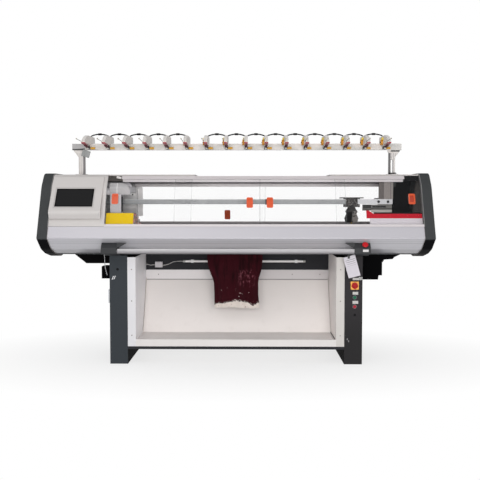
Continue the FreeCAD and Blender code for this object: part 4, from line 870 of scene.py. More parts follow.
class MACHINE_OT_cabinet(bpy.types.Operator):
    """Finishes the legs, the fabric box, the side panels and the drive housings"""
    bl_idname = "machine.cabinet"
    bl_label = "Legs and fabric box"

    def execute(self, context):
        tones = context.scene.machine_colours
        dress(self.leg_paint(tones), "legs")
        dress(painted("frame_coat", tone(38, 38, 42), 0.6, dust=0.1, shine=0.15), "frame_sheets")
        dress(self.box_paint(tones), "fabric_box", "side_panels")
        dress(painted("housing_black", tone(5, 5, 6), 0.7, peel=0.00004, shine=0.03), "drive_housings")
        self.rivets()
        self.corner_folds()
        self.leg_marks()
        return {"FINISHED"}

    def leg_paint(self, tones):
        """Powder coat: bluish on the left leg; neutral on the right one, darker there and towards its foot as
        painted shade; inner faces painted black as shade.
        """
        finish = Finish("leg_coat")
        cloud = finish.noise(3.1, 3.0, (0.6, 1.0, 0.4))
        side = finish.axis("X") > 0.0
        height = finish.axis("Z")
        # Painted shade: the right leg darker, and darker still towards its foot.
        right_leg_shaded = finish.mix(tone(52, 50, 52), tone(44, 43, 44), height.ramp(0.42, 0.20))
        bluish = finish.mix(scaled(tones.leg, 0.93), scaled(tones.leg, 1.08), cloud)
        body = finish.mix(bluish, right_leg_shaded, side)
        rub = finish.noise(34.0, 6.0, (1.0, 1.0, 0.25)).ramp(0.62, 0.80) * 0.12
        body = finish.mix(body, scaled(tones.leg, 1.35), rub)
        # Painted shade: the legs' inner faces, which lie in shadow, made black.
        inner_face_shade = abs(finish.axis("X")) < LEG_INNER
        body = finish.mix(body, tone(12, 12, 13), inner_face_shade * 0.95)
        peel = finish.noise(420.0, 2.0)
        finish.set(Base_Color=body, Roughness=0.60 + (cloud - 0.5) * 0.12 + inner_face_shade * 0.34,
                   Specular_IOR_Level=0.06, Normal=finish.bump(peel, 0.00012, 0.7))
        return finish.material

    def box_paint(self, tones):
        """Warm white coat: greyer flanges and top strip, a dark seam under the strip, lint and smudges;
        painted light on the left wall, painted shade on the right upright and on the strip right of the
        cloth.
        """
        finish = Finish("box_coat")
        across, depth, height = finish.axis("X"), finish.axis("Y"), finish.axis("Z")
        cloud = finish.noise(2.6, 5.0, (1.0, 1.0, 0.5))
        body = finish.mix(scaled(tones.box, 0.95), scaled(tones.box, 1.04), cloud)
        flange = finish.facing("Y").ramp(-0.8, -0.95) * (depth < -0.2700)
        body = finish.mix(body, tone(214, 210, 208), flange)
        # Painted shade: the right flange upright darker than the left.
        upright_lit_and_shaded = finish.mix(tone(212, 211, 214), tone(196, 192, 188), across > 0.0)
        body = finish.mix(body, upright_lit_and_shaded, flange * (abs(across) > 0.6960))
        # Painted light on the left wall's inner face.
        inward_light = finish.facing("X").ramp(0.5, 0.9) * (across < 0.0)
        body = finish.mix(body, tone(252, 251, 254), inward_light * 0.9)
        back = finish.facing("Y").ramp(-0.7, -0.9) * (depth > 0.2500)
        # Painted shade on the top strip right of the cloth.
        strip_shaded_tone = finish.mix(tone(224, 220, 221), tone(198, 193, 194), across.ramp(0.05, 0.20))
        body = finish.mix(body, strip_shaded_tone, back * (height > 0.5390))
        seam = (depth > 0.2300) * height.within(0.5335, 0.5400) * (abs(across) < 0.6900)
        body = finish.mix(body, tone(118, 112, 112), seam * 0.85)
        smudge = finish.noise(11.0, 6.0).ramp(0.55, 0.85) * height.ramp(0.50, 0.16)
        body = finish.mix(body, tone(186, 176, 168), smudge * 0.2)
        lint = finish.noise(260.0, 2.0).ramp(0.70, 0.76) * 0.25
        body = finish.mix(body, tone(176, 168, 164), lint)
        dents = finish.bump(finish.noise(5.0, 2.0), 0.002, 0.35)
        finish.set(Base_Color=body, Roughness=0.46 + (cloud - 0.5) * 0.14,
                   Normal=finish.bump(finish.noise(520.0, 2.0), 0.00008, 0.6, dents))
        return finish.material

    def rivets(self):
        """Pop rivets along the flanges and the top strip."""
        bm = bmesh.new()
        dome = [(0.0, 0.0045), (0.0010, 0.0040), (0.0018, 0.0022), (0.0021, 0.0)]
        flange_front, strip_front = -0.2731, 0.2629
        on_flanges = [(side * 0.724, flange_front, z) for side in (-1, 1) for z in (0.20, 0.44, 0.66)]
        on_strip = [(x, strip_front, 0.575) for x in (-0.60, -0.20, 0.42, 0.63)]
        for place in on_flanges + on_strip:
            turned(bm, dome, place, (0, -1, 0), 14)
        finished("box_rivets", bm, ground("rivet_metal", tone(150, 146, 142), 0.4))

    def corner_folds(self):
        """Joint strips where the box's slanted back meets its sides, and the dark joint of its floor."""
        bm = bmesh.new()
        for side in (-1, 1):
            leaning_brick(bm, (-0.0015, -0.004, 0.0), (0.0015, 0.004, 0.430), tilt(-27.3, "X"),
                          (side * 0.6925, 0.064, 0.168))
        finished("box_corner_strips", bm, painted("strip_coat", tone(196, 188, 184), 0.5),
                 smooth=False)
        block("box_floor_joint", (0.6905, -0.2300, 0.1655), (0.6945, 0.0600, 0.1690), 0.0,
              rubber("joint_dark", tone(84, 78, 76)), smooth=False)

    def leg_marks(self):
        """Blank plates by the switches, black dots of painted shade for two holes, and small pale marks on
        the legs.
        """
        bm = bmesh.new()
        for x0, x1, z0, z1 in ((0.808, 0.866, 0.5875, 0.6035), (0.808, 0.847, 0.4865, 0.5065),
                               (0.808, 0.847, 0.4225, 0.4440)):
            brick(bm, (x0, LEG_FRONT - 0.0010, z0), (x1, LEG_FRONT + 0.0004, z1), 0.0004)
        finished("switch_labels", bm, painted("label_white", tone(184, 182, 179), 0.45),
                 smooth=False)
        bm = bmesh.new()
        # Painted shade: black dots where two holes show dark.
        plug = [(0.0, 0.0088), (0.0016, 0.0080), (0.0026, 0.0050), (0.0028, 0.0)]
        turned(bm, plug, (0.824, LEG_FRONT, 0.345), (0, -1, 0), 20)
        turned(bm, plug, (-0.820, LEG_FRONT, 0.661), (0, -1, 0), 20)
        finished("leg_hole_shades", bm, rubber("hole_shade_rubber", tone(16, 16, 18)))
        bm = bmesh.new()
        for x, z in ((-0.859, 0.590), (-0.846, 0.592)):
            leaning_brick(bm, (-0.0022, -0.0005, 0.0), (0.0022, 0.0006, 0.026), tilt(24.0, "Y"),
                          (x, LEG_FRONT - 0.0004, z))
        finished("leg_marks", bm, painted("mark_white", tone(238, 238, 240), 0.5),
                 smooth=False)
        bm = bmesh.new()
        for x, z in ((0.770, 0.170), (0.779, 0.156)):
            brick(bm, (x, LEG_FRONT - 0.0009, z), (x + 0.007, LEG_FRONT + 0.0004, z + 0.012), 0.0004)
        finished("right_leg_marks", bm, painted("right_mark_grey", tone(124, 122, 124), 0.5),
                 smooth=False)


class MACHINE_OT_controls(bpy.types.Operator):
    """Finishes the start bar, its brackets, the stop button and the switches"""
    bl_idname = "machine.controls"
    bl_label = "Controls"

    def execute(self, context):
        dress(self.bar_coat(), "start_bar")
        dress(moulded("bracket_plastic", tone(50, 51, 53), 0.52, 0.00010, marks=0.12, shine=0.2),
              "bar_brackets")
        dress(moulded("stop_red", tone(190, 26, 34), 0.34, 0.00002, marks=0.2, shine=0.2), "stop_button")
        dress(moulded("plate_yellow", tone(238, 168, 52), 0.4, 0.00003), "switch_plate")
        dress(moulded("knob_red", tone(164, 10, 14), 0.36, 0.00003, shine=0.15), "switch_knob")
        dress(ground("ring_chrome", tone(84, 86, 88), 0.34, metallic=0.6), "button_rings")
        dress(moulded("button_green", tone(4, 94, 64), 0.36, 0.00002, shine=0.15), "green_button")
        dress(moulded("button_red", tone(160, 22, 42), 0.36, 0.00002, shine=0.15), "red_button")
        bracket_front = -0.3853
        block("stop_label", (0.8610, bracket_front - 0.0008, 0.7905),
              (0.8990, bracket_front + 0.0006, 0.8065), 0.0003,
              painted("stop_label_white", tone(208, 206, 206), 0.45), smooth=False)
        return {"FINISHED"}

    def bar_coat(self):
        """Lacquered aluminium tube, with a painted highlight along its upper front and painted shade
        underneath.
        """
        finish = Finish("bar_coat")
        lines = finish.drawn_lines()
        body = finish.mix(tone(140, 138, 141), tone(158, 156, 159), lines)
        up = finish.facing("Z")
        # Painted highlight along the upper front, painted shade underneath.
        body = finish.mix(body, tone(206, 205, 206), up.ramp(0.30, 0.50) * up.ramp(0.95, 0.75))
        body = finish.mix(body, tone(112, 110, 113), up.ramp(-0.45, -0.75))
        finish.set(Base_Color=body, Metallic=0.15, Roughness=0.34 + lines * 0.08, Specular_IOR_Level=0.4,
                   Normal=finish.bump(lines, 0.00003, 0.5))
        return finish.material


class MACHINE_OT_lamp(bpy.types.Operator):
    """Finishes the lamp, its junction and its lead"""
    bl_idname = "machine.lamp"
    bl_label = "Lamp"

    def execute(self, context):
        dress(moulded("lamp_plastic", tone(240, 238, 238), 0.34, 0.00002, marks=0.05), "lamp")
        dress(moulded("junction_plastic", tone(186, 182, 186), 0.4, 0.00003, marks=0.6), "lamp_junction")
        y, z = 0.250, 0.676
        to_junction = [(-0.6953, y, 0.652), (-0.6773, y, 0.652), (-0.6593, y, 0.644), (-0.641, y, 0.648),
                       (-0.623, y, 0.648)]
        to_lamp = [(-0.567, y, 0.645), (-0.549, y, 0.645), (-0.513, y, 0.656), (-0.477, y, z), (-0.410, y, z)]
        lead = wire("lamp_lead_run", [to_junction, to_lamp], 0.0022,
                    rubber("lead_white", tone(206, 204, 202), 0.5))
        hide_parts("lamp_lead")
        bm = bmesh.new()
        wide, round_edge = 0.018, 0.002
        cap = [(0.0, 0.0), (0.0, 0.0092), (round_edge, 0.0098), (wide - round_edge, 0.0098), (wide, 0.0092),
               (wide, 0.0)]
        for x in (-0.410, 0.501):
            turned(bm, cap, (x, y, z), (1, 0, 0), 24)
        finished("lamp_ends", bm, ground("lamp_end_metal", tone(170, 170, 168), 0.35, metallic=0.6))
        return {"FINISHED"}


class MACHINE_OT_cloth(bpy.types.Operator):
    """Hangs the knitted cloth between the beds, with its ragged open hem"""
    bl_idname = "machine.cloth"
    bl_label = "Knitted cloth"

    # The size of the cloth laid flat, and the grid that it is drawn on.
    flat = (0.404, 0.605)
    columns, rows = 150, 190
    # Height, left edge and right edge, from the beds down.
    edges = ((0.955, -0.212, 0.192), (0.705, -0.213, 0.189), (0.669, -0.207, 0.186), (0.619, -0.192, 0.178),
             (0.575, -0.174, 0.163), (0.539, -0.164, 0.158), (0.452, -0.160, 0.158), (0.380, -0.160, 0.166),
             (0.350, -0.158, 0.168))
    # Place across, and the height at which the red ends there.
    hem_line = ((-0.170, 0.379), (-0.060, 0.392), (-0.003, 0.405), (0.026, 0.405), (0.083, 0.390),
                (0.120, 0.369), (0.156, 0.394), (0.175, 0.396))

    def between(self, table, place, column):
        """Straight interpolation in a table whose first column runs up or down."""
        for first, second in zip(table, table[1:]):
            low, high = sorted((first[0], second[0]))
            if low <= place <= high:
                share = (place - first[0]) / (second[0] - first[0])
                return first[column] + (second[column] - first[column]) * share
        return table[0][column] if abs(place - table[0][0]) < abs(place - table[-1][0]) else table[-1][column]

    def fold(self, share, drop):
        """How far the cloth stands off its plane: gathers that open downwards, and curled selvedges."""
        loose = max(0.0, min(1.0, (drop - 0.22) / 0.30))
        gathers = 0.0075 * math.sin(17.0 * share + 2.2 * drop)
        gathers += 0.0045 * math.sin(31.0 * share - 4.0 * drop + 1.0)
        ripple = 0.0012 * math.sin(9.0 * share + 14.0 * drop)
        edge = max(0.0, abs(share - 0.5) - 0.44) / 0.06
        return loose * (gathers - 0.010 * edge * edge + ripple)

    def spot(self, share, drop, top):
        """A point of the hanging cloth: its foot is scalloped, and its right corner curls up."""
        z = top - drop
        left, right = self.between(self.edges, z, 1), self.between(self.edges, z, 2)
        x = left + (right - left) * share
        scallop = 0.006 * abs(math.sin(math.pi * 13.0 * share + 0.6)) + 0.004 * math.sin(5.0 * share)
        low = max(0.0, (drop - 0.565) / 0.040)
        curl = max(0.0, (x - 0.120) / 0.045) * low
        return Vector((x, self.fold(share, drop) - 0.007 * curl, z + scallop * low + 0.010 * curl))

    def execute(self, context):
        sizes = context.scene.machine_sizes
        bm = bmesh.new()
        uv = bm.loops.layers.uv.new("stitches")
        hem = bm.verts.layers.float.new("above_hem")
        grid = []
        for row in range(self.rows + 1):
            drop = (sizes.cloth_top - sizes.cloth_foot) * row / self.rows
            line = []
            for column in range(self.columns + 1):
                place = self.spot(column / self.columns, drop, sizes.cloth_top)
                vert = bm.verts.new(place)
                vert[hem] = place.z - self.between(self.hem_line, place.x, 1)
                line.append(vert)
            grid.append(line)
        for row in range(self.rows):
            for column in range(self.columns):
                spots = [(column, row), (column, row + 1), (column + 1, row + 1), (column + 1, row)]
                face = bm.faces.new([grid[down][across] for across, down in spots])
                for loop, (across, down) in zip(face.loops, spots):
                    loop[uv].uv = (self.flat[0] * across / self.columns, -self.flat[1] * down / self.rows)
        cloth = finished("knitted_cloth", bm, self.knit(context.scene.machine_colours, sizes))
        thick = cloth.modifiers.new("yarn", "SOLIDIFY")
        thick.thickness = 0.0016
        thick.offset = 0.0
        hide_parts("fabric")
        return {"FINISHED"}

    def knit(self, tones, sizes):
        """Ribs of stitches in dark red, and the cream rows of the open hem."""
        finish = Finish("knit_cloth")
        across, down = finish.flat_place("stitches")
        rib = (across * (math.tau / sizes.stitch)).sine()
        loop = (down * (math.tau / (0.75 * sizes.stitch)) + abs(rib) * 1.6).sine()
        above = finish.make("ShaderNodeAttribute",
                            {"attribute_type": "GEOMETRY", "attribute_name": "above_hem"}, output=2)
        ragged = above + (finish.noise(70.0, 4.0) - 0.5) * 0.030
        in_hem = ragged.ramp(0.0012, -0.0008)
        heather = finish.noise(150.0, 4.0, (1.0, 1.0, 0.35))
        cloud = finish.noise(6.0, 3.0)
        red = finish.mix(scaled(tones.cloth, 0.60), scaled(tones.cloth, 1.25), heather)
        red = finish.mix(red, scaled(tones.cloth, 0.55), cloud.ramp(0.45, 0.75) * 0.6)
        height = finish.axis("Z")
        place = finish.axis("X")
        # Painted shade in the folds.
        fold_shade = finish.noise(24.0, 3.0, (1.0, 1.0, 0.16)).ramp(0.52, 0.64)
        red = finish.mix(red, scaled(tones.cloth, 0.22), fold_shade * height.ramp(0.52, 0.58) * 0.75)
        # Painted sheen: pinkish highlight streaks.
        sheen_highlight = (place.ramp(0.005, 0.045) * place.ramp(0.150, 0.110) * height.ramp(0.500, 0.535)
                 * height.ramp(0.650, 0.615))
        streaks = finish.noise(70.0, 5.0, (1.0, 1.0, 0.45)).ramp(0.52, 0.66)
        red = finish.mix(red, tone(146, 84, 96), sheen_highlight * streaks * 0.7)
        flecks = finish.noise(64.0, 1.0, (0.6, 1.0, 1.6)).ramp(0.72, 0.75)
        red = finish.mix(red, tone(222, 200, 196), flecks * height.ramp(0.52, 0.47) * 0.9)
        rows = finish.noise(120.0, 2.0, (0.5, 1.0, 1.0)).ramp(0.50, 0.60) * above.ramp(0.016, 0.006)
        red = finish.mix(red, scaled(tones.hem, 0.80), rows * 0.6)
        cream = finish.mix(scaled(tones.hem, 0.82), scaled(tones.hem, 1.04), heather)
        cream = finish.mix(cream, tone(120, 66, 66), finish.noise(70.0, 2.0).ramp(0.66, 0.72) * 0.5)
        finish.set(Base_Color=finish.mix(red, cream, in_hem), Roughness=0.86 + rib * 0.05,
                   Sheen_Weight=0.04, Sheen_Roughness=0.4, Specular_IOR_Level=0.12,
                   Normal=finish.bump(rib * 0.5 + loop * 0.3, 0.0010, 0.9, finish.bump(heather, 0.0006, 0.6)))
        return finish.material


class MACHINE_OT_tension(bpy.types.Operator):
    """Finishes the yarn rail and gives every tension unit its discs, levers and wheels"""
    bl_idname = "machine.tension"
    bl_label = "Yarn rail and tension units"

    def execute(self, context):
        tones = context.scene.machine_colours
        sizes = context.scene.machine_sizes
        dress(self.rail_paint(), "yarn_rail")
        self.post_fittings()
        dress(self.unit_plastic(tones, sizes), "tension_units")
        places = unit_places(sizes)
        self.discs(tones, sizes, places)
        self.levers(tones, places)
        self.wheels(places)
        self.eyelets(sizes, places)
        return {"FINISHED"}

    def rail_paint(self):
        """Pale paint, with the posts' ribs as stripes of painted shade, their shaded edges and the shade
        under the rail's ends.
        """
        finish = Finish("yarn_rail_paint")
        across, height = finish.axis("X"), finish.axis("Z")
        blot = finish.noise(2.3, 4.0, (0.4, 1.0, 1.0))
        body = finish.mix(tone(212, 207, 203), tone(226, 221, 217), blot)
        post = height < 1.478
        # Painted shade: darker stripes for the posts' ribs.
        rib = (across * 72.0).fract() < 0.34
        body = finish.mix(body, tone(166, 163, 164), post * rib * 0.8)
        body = finish.mix(body, tone(120, 117, 118), post * across.within(-1.1060, -1.0))
        body = finish.mix(body, tone(96, 95, 96), post * across.within(1.0, 1.1075))
        worn = finish.noise(7.0, 4.0, (0.5, 1.0, 1.0)).ramp(0.46, 0.60)
        rail = height > 1.4990
        body = finish.mix(body, tone(186, 187, 184), worn * rail * 0.7)
        body = finish.mix(body, tone(166, 164, 166), (across < -1.0900) * rail * 0.8)
        wedge = height - across * 0.05 < 1.5670
        body = finish.mix(body, tone(30, 30, 32), (across < -1.0950) * rail * wedge * 0.9)
        end = (across > 1.1080) * height.within(1.4860, 1.4985)
        body = finish.mix(body, tone(64, 66, 66), end * 0.85)
        finish.set(Base_Color=body, Roughness=0.42 + (blot - 0.5) * 0.12, Specular_IOR_Level=0.35,
                   Normal=finish.peel(wavy=False))
        return finish.material

    def post_fittings(self):
        """The grey box on the left post, with its rib, and the dark foot of the right post."""
        bm = bmesh.new()
        brick(bm, (-1.1060, -0.0600, 1.4480), (-1.0500, -0.0450, 1.4960), 0.003, tilt(16.0, "Y"))
        brick(bm, (-1.0930, -0.0630, 1.4560), (-1.0840, -0.0598, 1.4900), 0.001, tilt(16.0, "Y"))
        finished("post_box", bm, painted("post_box_grey", tone(146, 148, 148), 0.45))
        block("post_foot", (1.0880, -0.0480, 1.3282), (1.1440, -0.0400, 1.3360), 0.002,
              rubber("foot_black", tone(24, 24, 25)))

    def unit_plastic(self, tones, sizes):
        """Grey body, yellow discs at its left, the amber guide at its right and the steel arm."""
        finish = Finish("unit_plastic")
        pitch, whole_pitches = sizes.unit_pitch, 8.0
        # Moved right by whole pitches first, because a remainder is only of use above zero.
        shifted = finish.axis("X") + whole_pitches * pitch
        local = shifted.maths("MODULO", shifted, pitch) - 0.5 * pitch
        height = finish.axis("Z")
        cloud = finish.noise(18.0, 4.0)
        body = finish.mix(tone(216, 211, 207), tone(236, 231, 226), cloud)
        body = finish.mix(body, tone(126, 122, 122), height.ramp(1.526, 1.518))
        side = local < -(sizes.unit_half + 0.0004)
        body = finish.mix(body, tone(84, 86, 86), side)
        body = finish.mix(body, tones.disc, side * (finish.axis("Y") > -0.090))
        body = finish.mix(body, tones.knob, local > sizes.unit_half + 0.0004)
        grain = finish.noise(600.0, 2.0)
        finish.set(Base_Color=body, Roughness=0.38 + cloud * 0.12, Normal=finish.bump(grain, 0.00006, 0.6))
        return finish.material

    def discs(self, tones, sizes, places):
        """A dished ring on each pair of discs, its clamp nut and the amber adjuster above it."""
        dishes = bmesh.new()
        nuts = bmesh.new()
        adjusters = bmesh.new()
        dish = [(0.0, 0.0205), (0.0020, 0.0215), (0.0036, 0.0205), (0.0026, 0.0160), (0.0014, 0.0080),
                (0.0010, 0.0)]
        nut = [(0.0, 0.0055), (0.0050, 0.0050), (0.0060, 0.0036), (0.0060, 0.0)]
        adjuster = [(0.0, 0.0), (0.0, 0.0100), (0.0110, 0.0100), (0.0130, 0.0085), (0.0130, 0.0)]
        half, y, z = sizes.unit_half, sizes.disc_y, sizes.disc_z
        for x in places:
            turned(dishes, dish, (x - half - 0.0130, y, z), (-1, 0, 0), 28)
            turned(nuts, nut, (x - half - 0.0144, y, z), (-1, 0, 0), 12)
            turned(adjusters, adjuster, (x - half + 0.0005, y - 0.022, z + 0.024), (-1, 0, 0), 20)
        finished("disc_dishes", dishes, moulded("disc_plastic", tones.disc, 0.3, 0.00003))
        finished("disc_nuts", nuts, moulded("nut_plastic", tone(44, 44, 48), 0.4, 0.00004))
        finished("tension_adjusters", adjusters,
                 moulded("adjuster_plastic", tone(222, 190, 52), 0.35, 0.00003))

    def levers(self, tones, places):
        """The red lever under each unit's nose, and its dark pad."""
        levers = bmesh.new()
        pads = bmesh.new()
        for x in places:
            brick(levers, (x - 0.0125, -0.2560, 1.5280), (x + 0.0125, -0.1560, 1.5360), 0.0015,
                  tilt(-4.0, "X"))
            brick(pads, (x - 0.0090, -0.1760, 1.5150), (x + 0.0090, -0.1000, 1.5250), 0.0010,
                  tilt(-7.0, "X"))
        finished("tension_levers", levers, moulded("lever_plastic", tones.lever, 0.35, 0.00003))
        finished("lever_pads", pads, rubber("pad_rubber", tone(92, 62, 66)))

    def wheels(self, places):
        """The white feed wheel between its dark blocks, in front of each unit's foot."""
        wheels = bmesh.new()
        blocks = bmesh.new()
        wheel = [(0.0, 0.0), (0.0, 0.0090), (0.0016, 0.0105), (0.0034, 0.0085), (0.0096, 0.0085),
                 (0.0114, 0.0105), (0.0130, 0.0090), (0.0130, 0.0)]
        for x in places:
            turned(wheels, wheel, (x - 0.0065, -0.0840, 1.5115), (1, 0, 0), 24)
            brick(blocks, (x - 0.0100, -0.0780, 1.5060), (x - 0.0065, -0.0610, 1.5260), 0.0010)
            brick(blocks, (x + 0.0065, -0.1040, 1.5080), (x + 0.0100, -0.0610, 1.5280), 0.0010)
        finished("feed_wheels", wheels, moulded("wheel_plastic", tone(216, 214, 210), 0.32, 0.00002))
        finished("wheel_blocks", blocks, rubber("block_rubber", tone(28, 28, 30)))

    def eyelets(self, sizes, places):
        """A ceramic-coloured eye at the tip of each spring arm, and one under each unit's nose."""
        bm = bmesh.new()
        angles = [step * math.tau / 8 for step in range(9)]
        for x in places:
            arm = x - sizes.unit_half - 0.003
            for centre, size in (((arm, -0.3885, 1.5520), 0.0040), ((x, -0.2560, 1.5440), 0.0032)):
                thick = size * 0.45
                ring = [(thick * math.cos(angle), size + thick * math.sin(angle)) for angle in angles]
                turned(bm, ring, centre, (0, 1, 0), 14)
        finished("yarn_eyelets", bm, moulded("eyelet_ceramic", tone(196, 190, 178), 0.25, 0.00002))


class MACHINE_OT_leads(bpy.types.Operator):
    """Lays the leads from unit to unit, apart from one gap, each with its black sleeve"""
    bl_idname = "machine.leads"
    bl_label = "Leads"

    def execute(self, context):
        sizes = context.scene.machine_sizes
        places = unit_places(sizes)
        # The photograph shows no lead between the sixth unit and the seventh.
        gap = 5
        inset = sizes.unit_half - 0.004
        y, socket, bend, shoulder, crown = -0.004, 1.597, 1.603, 1.6122, 1.6160
        sleeve = [(-0.0140, 0.0), (-0.0140, 0.0052), (-0.0100, 0.0076), (0.0100, 0.0076), (0.0140, 0.0052),
                  (0.0140, 0.0)]
        routes = []
        sleeves = bmesh.new()
        for number, (here, there) in enumerate(zip(places, places[1:])):
            if number == gap:
                continue
            first, last = here + inset, there - inset
            middle = (first + last) / 2
            routes.append([(first, y, socket), (first, y, bend), ((first + middle) / 2, y, shoulder),
                           (middle, y, crown), ((last + middle) / 2, y, shoulder), (last, y, bend),
                           (last, y, socket)])
            turned(sleeves, sleeve, (middle, y, crown - 0.0020), (1, 0, 0), 16)
        black = rubber("lead_black", tone(8, 8, 9))
        leads = wire("unit_leads", routes, 0.0045, black, order=4)
        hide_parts("tension_leads")
        finished("lead_sleeves", sleeves, black)
        return {"FINISHED"}


class MACHINE_OT_fittings(bpy.types.Operator):
    """Adds the small fittings: the chain, the hanging card, the striped mark and the leg catch"""
    bl_idname = "machine.fittings"
    bl_label = "Small fittings"

    def execute(self, context):
        self.chain()
        self.card()
        self.stripes()
        block("leg_catch", (-0.8870, -0.262, 0.424), (-0.8755, -0.222, 0.520), 0.003,
              moulded("catch_plastic", tone(186, 188, 192), 0.4))
        return {"FINISHED"}

    def chain(self):
        """The beaded chain that hangs from the left bracket."""
        bm = bmesh.new()
        radius, pitch, links = 0.0030, 0.0078, 18
        x, y, top = -0.897, -0.345, 0.7710
        angles = [step * math.pi / 8 for step in range(9)]
        ball = [(radius * math.cos(angle), radius * math.sin(angle)) for angle in angles]

        def place(link, lower=0.0):
            sway = 0.0012 * math.sin(link * 0.45) + 0.016 * (link / links) ** 2
            return (x + sway, y, top - lower - link * pitch)

        for link in range(links + 1):
            turned(bm, ball, place(link), (0, 0, 1), 12)
        for link in range(links):
            turned(bm, [(0.0, 0.0006), (-0.0080, 0.0006)], place(link, 0.0005), (0, 0, 1), 6)
        finished("bead_chain", bm, ground("bead_metal", tone(190, 190, 192), 0.3))

    def card(self):
        """The card, tilted on its clip and wire under the right bracket."""
        y = -0.325
        corners = [(0.7353, 0.7448), (0.8152, 0.7687), (0.8541, 0.6253), (0.7742, 0.6048)]
        bm = bmesh.new()
        uv = bm.loops.layers.uv.new("card")
        face = bm.faces.new([bm.verts.new((x, y, z)) for x, z in corners])
        for loop, spot in zip(face.loops, ((0, 1), (1, 1), (1, 0), (0, 0))):
            loop[uv].uv = spot
        thicken(bm, [face], 0.0009)
        finished("hanging_card", bm, self.card_sheet(), smooth=False)
        block("card_clip", (0.7655, y - 0.0040, 0.7400), (0.7795, y + 0.0045, 0.7640), 0.0012,
              moulded("clip_plastic", tone(28, 28, 30), 0.4))
        wire("card_wire", [[(0.7725, y, 0.7630), (0.7745, y + 0.001, 0.7680), (0.7780, y + 0.002, 0.7735)]],
             0.0007, ground("wire_metal", tone(150, 150, 152), 0.3))

    def card_sheet(self):
        """Greyish card with faint lines that are no letters."""
        finish = Finish("card_sheet")
        side, down = finish.flat_place("card")
        rows = 11.0
        line = ((down * rows).fract() < 0.22) * side.within(0.12, 0.88) * down.within(0.10, 0.86)
        stain = finish.noise(22.0, 4.0)
        body = finish.mix(tone(186, 182, 190), tone(202, 197, 204), stain)
        body = finish.mix(body, tone(84, 80, 86), line * down.ramp(0.45, 0.75) * 0.9)
        finish.set(Base_Color=body, Roughness=0.35 + stain * 0.1)
        return finish.material

    def stripes(self):
        """The small black and white striped mark beside the switch."""
        finish = Finish("stripe_mark")
        slant = ((finish.axis("X") + finish.axis("Z")) * 140.0).fract()
        body = finish.mix(tone(206, 206, 204), tone(34, 34, 36), slant > 0.5)
        worn = finish.noise(90.0, 3.0).ramp(0.6, 0.8) * 0.3
        finish.set(Base_Color=finish.mix(body, tone(150, 150, 150), worn), Roughness=0.4)
        block("striped_mark", (0.8500, LEG_FRONT - 0.0011, 0.5890), (0.8755, LEG_FRONT + 0.0004, 0.6100),
              0.0003, finish.material, smooth=False)


